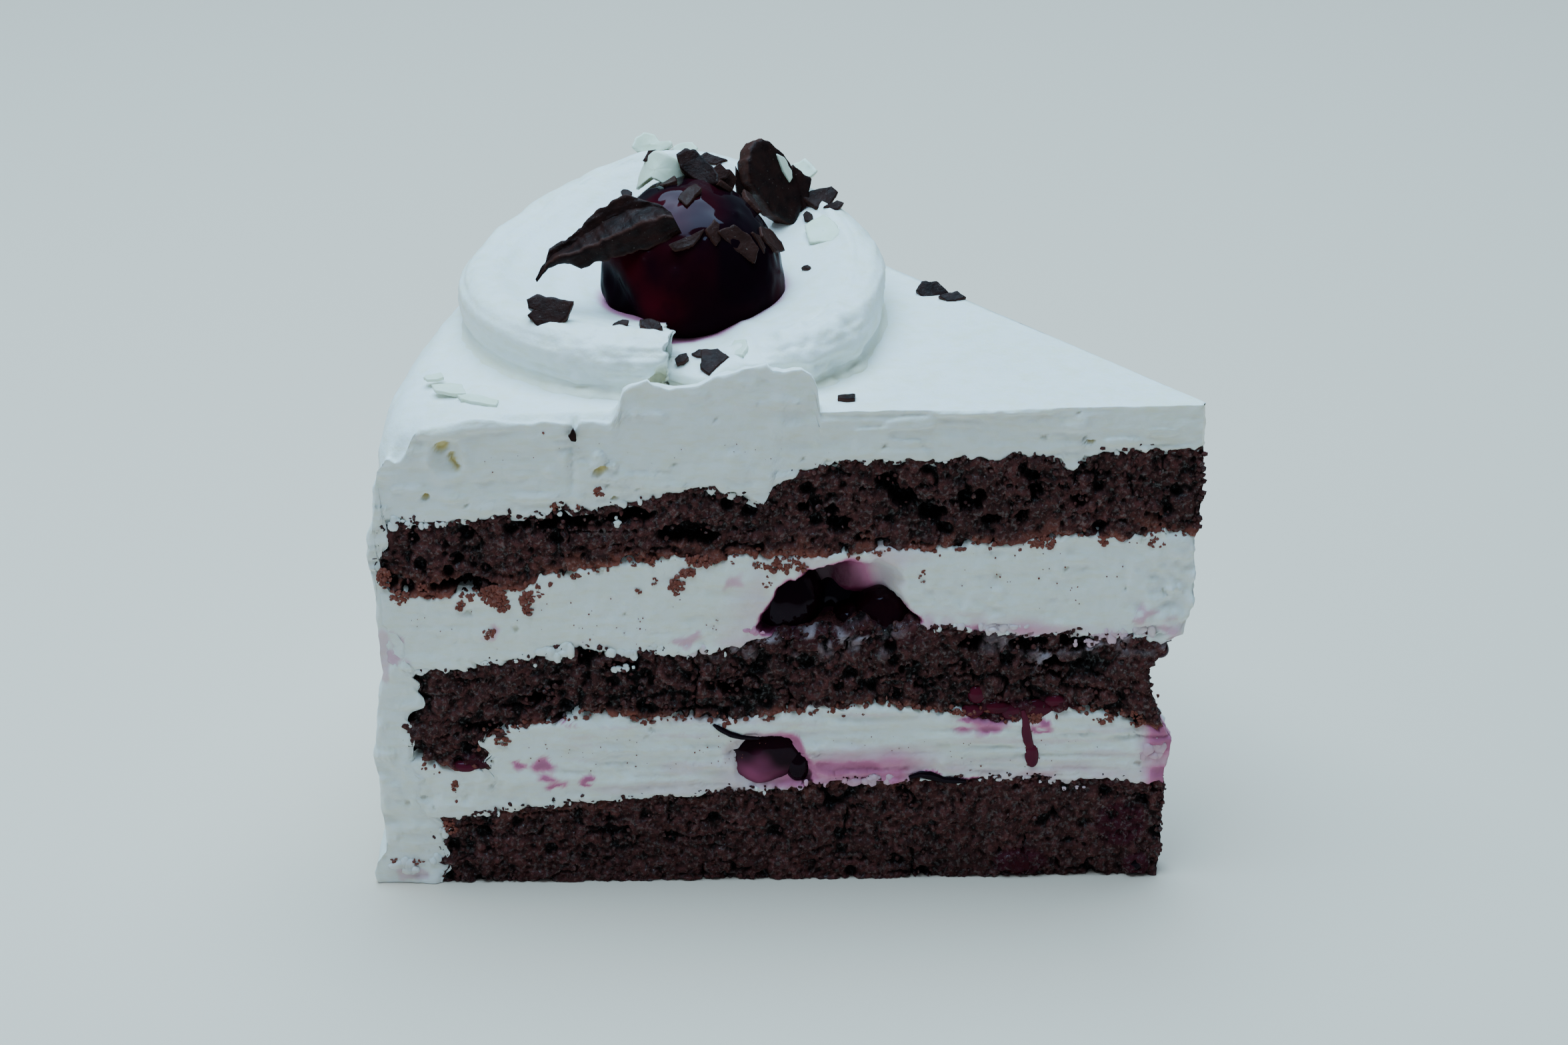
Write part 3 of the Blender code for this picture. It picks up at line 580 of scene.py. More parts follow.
def lip_height(along, depth):
    """Cream that the knife left standing on the cut edge."""
    spot = np.stack([along, depth, np.zeros_like(along)], axis=-1)
    tall = curve(LIP, along) * (1 + 0.05 * noise(spot, 1.4, 141))
    return tall * ramp(depth, 2.6 + 0.5 * noise(spot, 5.0, 143), 0.7)


def coat_loops(angle):
    """Loops of the coat: up its front cut, round the outside, and down its back cut."""
    thick = COAT_CUT_ROWS
    loops = []
    depths = []
    for inner_radius, inner_height, outer_radius, outer_height in coat_section(angle):
        if outer_height is None:
            outer_height = cake_top(CAKE_RADIUS - outer_radius * np.cos(angle))
        outer = np.stack([outer_radius + 0 * angle, outer_height + 0 * angle], axis=-1)
        ends = []
        for turn in (0.0, WEDGE):
            low = inner_height
            if low is None:
                low = boundary(TOP_SPONGE_TOP, np.array([inner_radius]), np.array([turn]))[0] - TUCK
            ends.append(np.array([float(inner_radius), float(low)]))
        share = np.linspace(0, 1, thick)[:, None]
        front = blend(ends[0], outer[0], share)
        back = blend(outer[-1], ends[1], share)
        section = np.concatenate([front[:-1], outer, back[1:]])
        turns = np.concatenate([np.zeros(thick - 1), angle, np.full(thick - 1, WEDGE)])
        loops.append(polar(section[:, 0], turns, section[:, 1]))
        from_inside = np.linalg.norm(front - ends[0], axis=-1)[:-1]
        behind = np.linalg.norm(back - ends[1], axis=-1)[1:]
        depths.append(np.concatenate([from_inside, np.full(len(angle), 9.0), behind]))
    return np.array(loops), np.array(depths)


COAT_NICKS = (
    (34.1, 68.1, 0.9, 0.6), (8.2, 64.4, 0.5, 0.4), (104.0, 72.4, 0.6, 0.3), (35.6, 63.8, 0.4, 0.3),
)
COAT_STAINS = ((1.2, 40.5, 1.4, 2.4), (1.4, 36.5, 0.9, 2.0), (4.0, 1.6, 2.4, 1.2))


def coat(finish):
    """The cream over the top and down the side, with its two cut edges."""
    across = COAT_COLUMNS
    thick = COAT_CUT_ROWS
    angle = WEDGE * np.linspace(0, 1, across) ** 1.2
    grid, from_inside = coat_loops(angle)
    count, columns = grid.shape[:2]
    along, depth, height = (grid[..., k].reshape(-1) for k in range(3))
    share = np.concatenate([np.linspace(0, 1, thick)[:-1], np.ones(across), np.linspace(1, 0, thick)[1:]])
    share = np.broadcast_to(share, (count, columns)).reshape(-1)
    from_tip = np.hypot(CAKE_RADIUS - along, depth)
    turn = np.degrees(np.arctan2(depth, np.maximum(CAKE_RADIUS - along, 0.01)))
    on_top = ramp(height, 66.0, 74.0)
    spot = np.stack([along, depth, 0 * along], axis=-1)
    uneven = 1 + 0.5 * noise(spot, 2.6, 145)
    lift = lip_height(along, depth) * share ** 1.4
    dropped = ramp(depth, 1.8 + 4.0 * ramp(along, 12, 5), 0.0)
    lift -= curve(EDGE_DROP, along) * uneven * dropped * share ** 2
    lift += curve(RIM_LIFT, turn) * ramp(from_tip, 105.0, 116.0) * share
    grid[..., 2] += (lift * on_top).reshape(count, columns)
    normal = np.cross(np.gradient(grid, axis=1), np.gradient(grid, axis=0))
    normal[:, : thick - 1] = (0.0, -1.0, 0.0)
    normal[:, columns - thick + 1 :] = (math.sin(WEDGE), math.cos(WEDGE), 0.0)
    normal /= np.linalg.norm(normal, axis=-1, keepdims=True) + 1e-9
    for _ in range(2):
        normal = (normal + np.roll(normal, 1, axis=1) + np.roll(normal, -1, axis=1)) / 3
    is_cut = np.zeros(columns)
    is_cut[: thick - 1] = 1
    is_cut[columns - thick + 1 :] = 1
    is_cut = np.broadcast_to(is_cut, (count, columns)).reshape(-1)
    flat = grid.reshape(-1, 3)
    cut, recess_shade = cream_relief(flat)
    low_left = ramp(flat[:, 2], 72, 62) * ramp(flat[:, 0], 40, 10)
    cut += is_cut * 0.25 * low_left * fractal(flat, 4.0, 3, 147)
    on_side = ramp(height, 76.0, 70.0)
    spread = 0.20 * noise(flat, (18.0, 18.0, 9.0), 151) + 0.10 * noise(flat, (8.0, 8.0, 2.4), 153)
    strokes = 0.45 * noise(flat, (9.0, 9.0, 3.6), 155) + 0.28 * fractal(flat, (4.0, 4.0, 1.6), 3, 157)
    spread += on_side * strokes
    near_corner = ramp(height, 72, 76) * ramp(along, 34, 14) * ramp(from_tip, 96, 108)
    spread += near_corner * 0.35 * fractal(flat, 4.5, 3, 159)
    push = np.where(is_cut > 0, cut, spread)
    tucked = ramp(from_inside.reshape(-1), TUCK + 0.5, 0.0)
    push -= is_cut * blend(1.3, 0.45, ramp(height, 61, 58)) * tucked
    bent = flat + 0.5 * wobble(flat, 1.8, (148, 149, 150))
    scoop = spots(bent, ((11.3, 71.9, 1.0, 0.8), (12.8, 69.6, 0.45, 1.3)))
    dish = spots(bent, ((12.0, 70.8, 1.9, 2.6),), 0.0)
    round_scoop = spots(bent, ((11.9, 70.9, 3.2, 4.2),), 0.2) * (1 - dish)
    nick = spots(bent, COAT_NICKS)
    curl = spots(bent, ((33.4, 70.0, 0.9, 1.3), (35.4, 68.9, 0.7, 0.5)))
    crease = np.exp(-(((flat[:, 0] - 29.6) / 0.4) ** 2)) * ramp(height, 63, 67) * (depth < 1.0)
    push += 0.5 * round_scoop - 1.0 * dish + 0.7 * curl - 1.0 * scoop - 1.4 * nick - 0.6 * crease
    push += 0.35 * ramp(noise(flat, (6.0, 6.0, 1.6), 160), 0.45, 0.6) * is_cut * (depth < 1.0)
    points = flat + normal.reshape(-1, 3) * push[:, None]
    points[:, 2] = np.maximum(points[:, 2], 0.0)
    faces = grid_faces(count, columns)
    # The tip's end is closed between the two cut edges.
    last = (count - 1) * columns
    for k in range(thick - 2):
        faces.append((last + k, last + k + 1, last + columns - 2 - k, last + columns - 1 - k))
    # Painted shade, tinted yellow, in the pinholes on the cut, the scoop and the nicks.
    pits = np.clip(np.maximum.reduce([0.7 * recess_shade * is_cut, scoop, nick]), 0, 1)
    marks = {"recess_shade": pits, "stain": 0.16 * spots(bent, COAT_STAINS)}
    return add_piece("coat", points, faces, finish, "cream", ("cream_coat",), marks)


def ring_height(turn, distance, widest):
    """Height of the ring's dished top over the cake."""
    crest_at = widest - RING_WALL
    share = np.clip(distance / crest_at, 0, 1)
    return blend(RING_DISH, curve(RING_CREST, turn), share ** 1.15)


RING_COLUMNS = 420
RING_CLIFF = 9  # columns in which the torn end drops to the start of the ring
RING_DISH_ROWS = 46
RING_WALL_ROWS = 40
RING_INNER = 0.30  # where the dish starts under the cherry, as a share of the crest's radius
RING_LEANS = (90, -34)  # degrees that the wall turns through
# The flared foot, as (out, up) from the ring's widest line
RING_FOOT = (
    (-0.50, 0.85), (-0.30, 0.50), (0.0, 0.25), (0.4, 0.08), (0.9, -0.12), (1.5, -0.6), (1.7, -2.2),
)


def piped_ring(finish):
    turn = np.linspace(0, 1, RING_COLUMNS)
    crest = curve(RING_CREST, turn)
    widest = RING_RADIUS + curve(RING_SWELL, turn)
    crest_at = widest - RING_WALL
    rows = []
    for share in np.linspace(RING_INNER, 1.0, RING_DISH_ROWS):
        distance = crest_at * share
        rows.append((distance, ring_height(turn, distance, widest)))
    for lean in np.radians(np.linspace(*RING_LEANS, RING_WALL_ROWS))[1:]:
        c, s = math.cos(lean), math.sin(lean)
        boxy = (abs(c) ** (0.66 if s > 0 else 0.8), math.copysign(abs(s) ** (0.75 if s > 0 else 0.9), s))
        rows.append((crest_at + RING_WALL * boxy[0], crest / 2 * (1 + boxy[1]) - 0.3))
    for out, up in RING_FOOT:
        rows.append((widest + out, np.full_like(crest, up)))
    distance = np.array([row[0] for row in rows])
    height = np.array([row[1] for row in rows])
    turns = np.broadcast_to(turn, distance.shape)
    lean_back = ramp(turns, 0.88, 1.0) * (1 - np.clip(height / 8.4, 0, 1)) ** 1.5 * math.radians(12.0)
    ragged_end = ramp(turns, 0.97, 1.0)
    row_spot = np.stack([distance, height * 1.5, np.zeros_like(distance)], axis=-1).reshape(-1, 3)
    jag = (noise(row_spot, 2.2, 161) * 0.02 + noise(row_spot, 0.9, 163) * 0.012).reshape(distance.shape)
    angle = RING_SEAM + turns * 2 * math.pi - lean_back
    angle = angle + jag * ragged_end + math.radians(0.8) * ragged_end
    share = np.linspace(0, 1, RING_CLIFF + 2)[1:-1]
    first_angle = angle[:, :1] + 2 * math.pi
    angle = np.concatenate([angle, blend(angle[:, -1:], first_angle, share)], axis=1)
    distance = np.concatenate([distance, blend(distance[:, -1:], distance[:, :1], share)], axis=1)
    height = np.concatenate([height, blend(height[:, -1:], height[:, :1], share)], axis=1)
    turns = np.concatenate([turns, np.full((len(rows), RING_CLIFF), 1.02)], axis=1)
    is_wall = (np.arange(len(rows)) > RING_DISH_ROWS - 4)[:, None]
    # The wall is undercut at the seam.
    hollow = ramp(turns, 0.035, 0.0)
    hollow[:, RING_COLUMNS:] = np.sin(math.pi * share) ** 0.6
    distance = distance - 3.2 * hollow * is_wall
    along = RING_MIDDLE[0] + distance * np.cos(angle)
    depth = RING_MIDDLE[1] + distance * np.sin(angle)
    base = cake_top(along) + 0.1
    grid = np.stack([along, depth, base + height], axis=-1)
    towards_row = np.gradient(grid, axis=0)
    towards_column = (np.roll(grid, -1, axis=1) - np.roll(grid, 1, axis=1)) / 2
    normal = np.cross(towards_row, towards_column)
    normal /= np.linalg.norm(normal, axis=-1, keepdims=True) + 1e-9
    flat = grid.reshape(-1, 3)
    wall = (is_wall * np.ones(turns.shape)).reshape(-1)
    turns, distance, height = turns.reshape(-1), distance.reshape(-1), height.reshape(-1)
    around = np.stack([turns * 200, distance, height], axis=-1)
    rough_start = ramp(turns, 0.03, 0.07) * ramp(turns, 0.19, 0.13)
    tail = ramp(turns, 0.86, 0.97)
    push = 0.20 * noise(around, (30.0, 3.5, 3.5), 171) + 0.08 * noise(around, (12.0, 1.6, 1.6), 173)
    grooves = 0.30 * noise(around, (22.0, 4.0, 1.5), 175) + 0.12 * noise(around, (9.0, 2.0, 0.7), 176)
    push += wall * grooves
    push += wall * 0.16 * fractal(flat, 2.4, 3, 177)
    push += wall * rough_start * 1.1 * fractal(flat, 4.0, 3, 179)
    push += (0.25 + 0.5 * wall) * tail * fractal(flat, 3.4, 3, 181)
    push += (turns > 1.0) * 0.6 * fractal(flat, 2.4, 2, 183)
    points = flat + normal.reshape(-1, 3) * push[:, None]
    off_cherry = (points - CHERRY_AT)[:, :2] / CHERRY_SIZE[:2]
    reach = np.hypot(off_cherry[:, 0], off_cherry[:, 1])
    juice = ramp(reach, 1.14 + 0.05 * noise(points, 3.0, 185), 0.98)
    # Painted shade, tinted yellow, under the torn end at the seam and round the foot of the wall.
    at_seam = (turns > 1.0) * ramp(height, 5.0, 1.0)
    yellow_shade = np.maximum(0.5 * at_seam, ramp(height, 1.5, 0.2) * wall * 0.28)
    marks = {"stain": 0.38 * juice ** 1.6, "recess_shade": np.clip(yellow_shade, 0, 1)}
    faces = grid_faces(len(rows), angle.shape[1], loop=True)
    return add_piece("ring", points, faces, finish, "cream", ("cream_ring",), marks)


# Cherries


def blob(at, size, around=160, up=90):
    """Points of an ellipsoid with a squashed lower half, with the way out of it."""
    theta = np.linspace(0, 2 * math.pi, around, endpoint=False)
    phi = np.linspace(math.pi / 2, -math.pi / 2, up)
    t, p = np.meshgrid(theta, phi)
    unit = np.stack([np.cos(p) * np.cos(t), np.cos(p) * np.sin(t), np.sin(p)], axis=-1).reshape(-1, 3)
    scale = np.tile(np.array(size[:3], dtype=float), (len(unit), 1))
    scale[:, 2] = np.where(unit[:, 2] > 0, size[2], size[-1])
    return np.array(at) + unit * scale, unit, grid_faces(up, around, loop=True)


DROP_UP = (0.352, 0.936)  # a drop's own up, as (depth, height)


def top_cherry(finish):
    """Two cherries under one thick glaze, with its foot spread on the cream."""
    points, unit, faces = blob(CHERRY_AT, CHERRY_SIZE, 240, 140)
    below = unit[:, 2] < 0
    wide = np.hypot(unit[:, 0], unit[:, 1]) + 1e-9
    fuller = np.where(below, wide ** 0.55 / wide, wide ** 0.86 / wide)
    centre = np.array(CHERRY_AT)
    points[:, :2] = centre[:2] + (points[:, :2] - centre[:2]) * fuller[:, None]
    out = unit.copy()
    out[:, 2] = np.maximum(out[:, 2], 0)
    push = 0.6 * noise(points, 8.0, 201) + 0.30 * noise(points, 4.0, 203) + 0.10 * noise(points, 1.9, 204)
    low = ramp(points[:, 2], 94.0, 82.0)
    valley = (points[:, 0] - 38.6) + 0.75 * (points[:, 2] - 81.0)
    push -= (0.5 + 1.3 * low) * np.exp(-((valley / (2.0 + 1.6 * low)) ** 2)) * ramp(points[:, 1], 36, 26)
    dim = ramp(points[:, 2], 98.0, 91.0)
    for along, depth, height, size in GLAZE_DROPS:
        rise = DROP_UP[0] * (points[:, 1] - depth) + DROP_UP[1] * (points[:, 2] - height)
        drop = np.exp(-((points[:, 0] - along) ** 2 + rise ** 2) / size ** 2)
        drop = drop * (points[:, 1] < CHERRY_AT[1])
        push += 0.4 * size * drop
        dim = dim * (1 - np.clip(1.6 * drop, 0, 1))
    points = points + out * push[:, None]
    thin = 0.5 * ramp(noise(points, 7.0, 207), -0.3, 0.6) * ramp(points[:, 2], 80, 86)
    marks = {"thin": thin, "dim": dim}
    return add_piece("glazed_cherry", points, faces, finish, "cherry", ("cherry_top",), marks)


def join(parts):
    """Several (points, faces, marks) as one."""
    points, faces, marks = [], [], {}
    start = 0
    for some_points, some_faces, some_marks in parts:
        points.append(some_points)
        faces += [tuple(index + start for index in face) for face in some_faces]
        for label, values in some_marks.items():
            marks.setdefault(label, []).append(values)
        start += len(some_points)
    marks = {label: np.concatenate(values) for label, values in marks.items()}
    return np.concatenate(points), faces, marks


def add_joined(name, parts, finish, slot, replaces=()):
    """Several parts as one piece, none of it under the plate."""
    points, faces, marks = join(parts)
    points[:, 2] = np.maximum(points[:, 2], 0.0)
    return add_piece(name, points, faces, finish, slot, replaces, marks)


def fruit(at, size, seed, thin, cut=None, around=100, jam=0.0):
    """One cherry or scrap. Cut is the depth where the knife cut it, and jam is how pale it is."""
    points, unit, faces = blob(at, size, around, around * 2 // 3)
    push = 0.35 * noise(points, 4.0, 210 + seed) + 0.12 * noise(points, 1.6, 220 + seed)
    points = points + unit * push[:, None]
    flesh = np.full(len(points), jam)
    if cut is not None:
        lower_left = -0.45 * (points[:, 0] - at[0]) / size[0]
        lower_left -= 0.85 * (points[:, 2] - at[2]) / size[-1]
        lower_left = lower_left + 0.2 * noise(points, 3.0, 240 + seed)
        flesh = 1.3 * ramp(points[:, 1], cut + 1.5, cut) * ramp(lower_left, -0.3, 0.85)
        points[:, 1] = np.maximum(points[:, 1], cut + 0.12 * noise(points, 1.6, 230 + seed))
    return points, faces, {"thin": np.full(len(points), thin), "flesh": flesh}


def skin(path, half, seed, thin=0.0, jam=0.0):
    """A strip of skin or jam along a path on the cut face, as a flattened tube."""
    path = np.array(path, dtype=float)
    steps = np.linspace(0, len(path) - 1, 10 * len(path))
    line = np.stack([np.interp(steps, range(len(path)), path[:, k]) for k in range(2)], axis=-1)
    run = np.gradient(line, axis=0)
    side = np.stack([-run[:, 1], run[:, 0]], axis=-1) / np.linalg.norm(run, axis=-1, keepdims=True)
    turns = np.linspace(0, 2 * math.pi, 12, endpoint=False)
    width = half * np.sin(np.linspace(0.15, 3.0, len(line))) ** 0.5
    width = width * (1 + 0.2 * noise(np.pad(line, ((0, 0), (0, 1))), 2.0, seed))
    rows = []
    for turn in turns:
        flat = line + side * (width * math.cos(turn))[:, None]
        rows.append(np.stack([flat[:, 0], -0.12 - 0.6 * width * math.sin(turn), flat[:, 1]], axis=-1))
    points = np.array(rows).transpose(1, 0, 2).reshape(-1, 3)
    marks = {"thin": np.full(len(points), thin), "flesh": np.full(len(points), jam)}
    return points, grid_faces(len(line), 12, loop=True), marks


# Strips of cherry skin and a drip of jam, as (along, height) along each
LEFT_SKIN = ((49.6, 26.7), (50.8, 25.8), (52.2, 25.0), (53.8, 24.5), (56.4, 24.3))
RIGHT_SKIN = ((78.8, 17.4), (80.6, 17.9), (82.0, 17.7), (84.0, 16.9), (87.4, 16.6))
JAM_DRIP = ((95.6, 28.6), (96.1, 26.8), (96.2, 25.0), (96.5, 23.4), (97.1, 21.8), (97.2, 19.8))


def buried_cherries(finish):
    """The cherries that show in the fillings, and scraps that the knife dragged out."""
    upper = [
        fruit((60.0, 8.0, 43.6), (6.4, 6.2, 8.2), 1, 0.05),
        fruit((67.8, 12.0, 42.0), (6.5, 6.0, 9.0), 2, 0.0),
        fruit((75.2, 5.6, 41.6), (5.0, 4.4, 5.0), 3, 0.12),
        fruit((70.2, 5.6, 41.4), (3.0, 3.6, 2.8), 4, 0.1),
    ]
    add_joined("cherries_upper", upper, finish, "cherry", ("cherry_upper",))
    lower = [
        fruit((57.3, 4.0, 20.1), (6.9, 4.5, 5.4), 5, 0.1, cut=-0.15),
        fruit((62.2, 3.5, 18.8), (2.6, 3.6, 3.9), 6, 0.05),
        skin(LEFT_SKIN, 0.5, 7),
        skin(RIGHT_SKIN, 0.65, 8),
    ]
    add_joined("cherries_lower", lower, finish, "cherry", ("cherry_lower",))
    scraps = [
        fruit((95.8, 1.2, 2.6), (3.4, 1.6, 2.6), 11, 0.5, around=50),
        fruit((113.5, 1.0, 1.9), (1.8, 1.7, 1.8), 12, 0.0, around=50),
        fruit((12.4, 0.7, 19.7), (2.3, 1.0, 1.0), 13, 0.9, around=36, jam=0.12),
        fruit((114.2, 1.2, 17.2), (1.9, 1.3, 1.1), 14, 0.7, around=36),
        fruit((88.2, 0.75, 28.2), (1.8, 1.0, 1.3), 15, 0.9, around=50, jam=0.10),
        fruit((91.6, 0.75, 28.8), (2.4, 0.9, 1.0), 21, 0.9, around=50, jam=0.06),
        fruit((94.4, 0.75, 28.0), (2.0, 1.0, 1.5), 22, 0.9, around=50, jam=0.12),
        fruit((97.8, 0.75, 28.2), (2.6, 0.9, 1.6), 16, 0.8, around=50, jam=0.06),
        fruit((100.6, 0.6, 29.8), (1.8, 0.8, 1.0), 17, 0.9, around=30, jam=0.1),
        fruit((88.8, 0.7, 31.0), (1.1, 0.7, 1.2), 23, 0.9, around=30, jam=0.1),
        fruit((115.6, 2.0, 37.8), (1.6, 1.6, 1.5), 18, 0.4, around=36),
        skin(JAM_DRIP, 0.8, 24, 1.0, 0.14),
        fruit((97.2, 0.0, 20.9), (1.15, 0.75, 2.0), 25, 1.0, around=40, jam=0.14),
    ]
    add_joined("cherry_scraps", scraps, finish, "cherry")


# Shavings and crumbs


def unit_vector(vector):
    vector = np.asarray(vector, dtype=float)
    return vector / np.linalg.norm(vector)


def flat_frame(facing):
    """Right and up in a plane that looks this way."""
    facing = unit_vector(facing)
    helper = np.array([0.0, 0.0, 1.0]) if abs(facing[2]) < 0.98 else np.array([0.0, 1.0, 0.0])
    right = unit_vector(np.cross(helper, facing))
    return facing, right, np.cross(facing, right)


def broken_outline(outline, seed, step=0.35, jitter=0.16):
    """The outline with more points, and edges as uneven as broken chocolate."""
    shape = np.array(outline, dtype=float)
    fine = []
    for a, b in zip(shape, np.roll(shape, -1, axis=0)):
        count = max(2, int(np.linalg.norm(b - a) / step))
        fine.extend(a + (b - a) * k / count for k in range(count))
    fine = np.array(fine)
    spot = np.pad(fine, ((0, 0), (0, 1)), constant_values=seed * 3.7)
    out = fine / (np.linalg.norm(fine, axis=-1, keepdims=True) + 1e-9)
    uneven = jitter * (noise(spot, 1.1, seed) + 0.7 * noise(spot, 0.5, seed + 1))
    return fine + out * uneven[:, None]


def shard(middle, facing, outline, thick, seed, bend=0.0, turn=0.0):
    """A broken flake: (points, faces, marks). Bend curls it about its up axis."""
    facing, right, up = flat_frame(facing)
    rim = broken_outline(outline, seed)
    if turn:
        c, s = math.cos(turn), math.sin(turn)
        rim = rim @ np.array([[c, s], [-s, c]])
    rings = []
    marks = []
    size = np.abs(rim).max()
    for side, shares in ((1, (0.02, 0.3, 0.6, 0.85, 0.965)), (-1, (0.965, 0.7, 0.35, 0.02))):
        for share in shares:
            flat = rim * share
            rings.append((flat, side * 0.5))
            marks.append(np.zeros(len(rim)))
        if side == 1:
            for height in (0.36, 0.12, -0.12, -0.36):
                rings.append((rim * (1.0 + 0.02 * (height > 0)), height))
                marks.append(np.ones(len(rim)))
    points = []
    for flat, height in rings:
        spot = np.pad(flat, ((0, 0), (0, 1)), constant_values=seed * 1.9 + height)
        surface = thick * height + 0.09 * noise(spot, 1.6, seed + 2) + 0.04 * noise(spot, 0.6, seed + 3)
        surface = surface + bend * (flat[:, 0] ** 2) / max(size, 1.0)
        if abs(height) < 0.4:
            flat = flat * (1 + 0.03 * noise(spot, 0.7, seed + 4))[:, None]
        on_plane = np.array(middle) + flat[:, :1] * right + flat[:, 1:] * up
        points.append(on_plane + surface[:, None] * facing)
    faces = grid_faces(len(rings), len(rim), loop=True)
    return np.concatenate(points), faces, {"edge": np.concatenate(marks)}


def random_outline(half, seed, corners=6, slim=1.0):
    dice = np.random.default_rng(seed)
    turns = 2 * math.pi * (np.arange(corners) + dice.uniform(-0.3, 0.3, corners)) / corners
    reach = half * dice.uniform(0.65, 1.25, corners)
    return [(r * math.cos(t), slim * r * math.sin(t)) for r, t in zip(reach, turns)]


def ring_surface(along, depth):
    """Height of the ring's top, or of the cake beside it, and the way it faces."""

    def height(a, d):
        distance = math.hypot(a - RING_MIDDLE[0], d - RING_MIDDLE[1])
        turn = (math.atan2(d - RING_MIDDLE[1], a - RING_MIDDLE[0]) - RING_SEAM) / (2 * math.pi) % 1.0
        widest = RING_RADIUS + float(curve(RING_SWELL, turn))
        if distance > widest:
            return cake_top(a)
        if distance > widest - RING_WALL:
            lean = (distance - widest + RING_WALL) / RING_WALL
            crest = float(curve(RING_CREST, turn))
            return cake_top(a) + crest / 2 * (1 + (1 - lean ** 3.2) ** 0.6)
        return cake_top(a) + float(ring_height(turn, distance, widest))

    here = height(along, depth)
    slope = (height(along + 0.8, depth) - here) / 0.8, (height(along, depth + 0.8) - here) / 0.8
    return here, unit_vector((-slope[0], -slope[1], 1.0))


def dome_surface(along, depth):
    """Height of the glazed cherry's top, and the way it faces."""
    a = (along - CHERRY_AT[0]) / CHERRY_SIZE[0]
    d = (depth - CHERRY_AT[1]) / CHERRY_SIZE[1]
    up = math.sqrt(max(1 - a * a - d * d, 0.02))
    facing = unit_vector((a / CHERRY_SIZE[0], d / CHERRY_SIZE[1], up / CHERRY_SIZE[2]))
    return CHERRY_AT[2] + CHERRY_SIZE[2] * up, facing


# Outlines of the shavings, seen along the way they face
SLAB_OUTLINE = (
    (-4.7, 0.6), (-3.3, -1.6), (-1.9, -5.0), (2.1, -8.0), (4.3, -5.2), (4.7, -2.0), (4.3, 0.9),
    (3.2, 3.4), (1.6, 5.1), (0.1, 6.4), (-1.5, 6.3), (-2.9, 5.4), (-4.0, 3.9), (-4.6, 2.2),
)
SLAB_FACING = (0.64, -0.68, 0.35)
SLAB_BEHIND = ((0.3, 4.9), (-1.1, 0.9), (-3.2, -2.6), (-1.1, -4.9), (2.0, -1.0), (2.9, 2.7))
TOP_CHIP = (
    (-2.6, -0.3), (-0.7, -1.7), (1.6, -2.7), (3.4, -2.6), (3.3, -1.2), (1.6, 0.7), (0.6, 1.8),
    (-0.8, 3.0), (-2.3, 3.1), (-3.4, 1.8),
)
THIN_OUTLINE = ((-0.7, 3.2), (-0.9, 0.6), (-0.7, -2.6), (0.8, -3.0), (0.7, -0.4), (0.2, 1.4))
WHITE_CHIP = (
    (-3.4, -0.8), (-3.1, -2.4), (-2.0, -2.2), (-0.3, -1.2), (1.5, -1.7), (2.9, -1.0), (4.0, 1.6),
    (3.1, 2.4), (-0.6, 3.1), (-2.1, 2.3),
)
REAR_WHITE = (
    (-2.9, -0.7), (-2.3, 0.9), (-0.9, 2.0), (0.8, 1.6), (1.4, 0.4), (3.2, 0.2), (3.6, -0.6), (1.2, -1.5),
    (-1.4, -1.3),
)
SLAB_FLECK = ((-0.9, 2.2), (0.2, 1.4), (1.0, -0.8), (0.9, -2.0), (0.2, -2.4), (-0.6, -0.6))
LEFT_FLAKE = (
    (-2.8, 1.7), (-2.5, 0.4), (-1.7, 0.4), (-2.5, -0.7), (-0.5, -2.4), (1.2, -3.2), (3.7, -0.3),
    (4.2, 1.7), (-1.4, 2.7),
)
REAR_DARK = ((-2.4, -0.8), (-1.6, 0.7), (-0.6, 0.9), (1.4, 0.2), (2.7, -1.2), (0.4, -1.6))
CUT_FLAKE = ((-0.6, 0.1), (0.1, 1.1), (0.6, 0.2), (0.5, -0.9), (-0.2, -0.7))
VALLEY_FLAKE = ((-1.8, 1.8), (-1.4, -1.6), (0.1, -2.6), (2.5, 0.9), (0.6, 2.1))
# Flakes on the cherry: (along, depth), and an outline
CHERRY_FLAKES = (
    ((46.8, 29.2), ((-1.3, -0.1), (-1.1, -1.3), (0.8, -2.3), (1.5, 1.5), (0.0, 2.2))),
    ((46.7, 22.6), ((-2.9, -0.9), (-2.0, -1.7), (0.7, -0.9), (1.6, 0.4), (2.1, 1.6), (-0.8, 0.3))),
    ((50.3, 23.9), ((-1.3, 0.6), (-0.7, -2.1), (0.4, -1.3), (1.1, 0.9), (0.6, 1.8))),
    (
        (53.9, 24.4),
        ((-3.1, 2.3), (-2.3, 0.8), (-0.1, -2.0), (1.4, -3.4), (2.6, -1.4), (1.7, 0.8), (-0.1, 2.8)),
    ),
    ((56.6, 27.0), ((-0.8, 1.8), (-0.6, -1.9), (0.5, -1.4), (0.7, 0.6))),
    ((58.2, 30.0), ((-2.4, 1.0), (-0.8, -2.0), (1.6, -3.0), (2.2, -1.8), (1.4, 1.0), (-0.6, 2.2))),
    ((56.0, 35.5), ((-2.2, -1.0), (0.4, -1.2), (2.0, 0.6), (1.6, 2.2), (-1.0, 1.4))),
    ((51.6, 35.0), ((-1.2, 1.6), (-1.0, -1.4), (1.2, -1.0), (1.3, 1.2))),
    ((44.0, 34.0), ((-1.6, 0.6), (0.2, -1.4), (1.8, -0.4), (0.8, 1.4))),
)
LEAF_TIP = (24.2, 22.8, 88.6)
LEAF_RUNS = unit_vector((0.887, 0.163, 0.432))
LEAF_UP = unit_vector((-0.462, 0.312, 0.830))
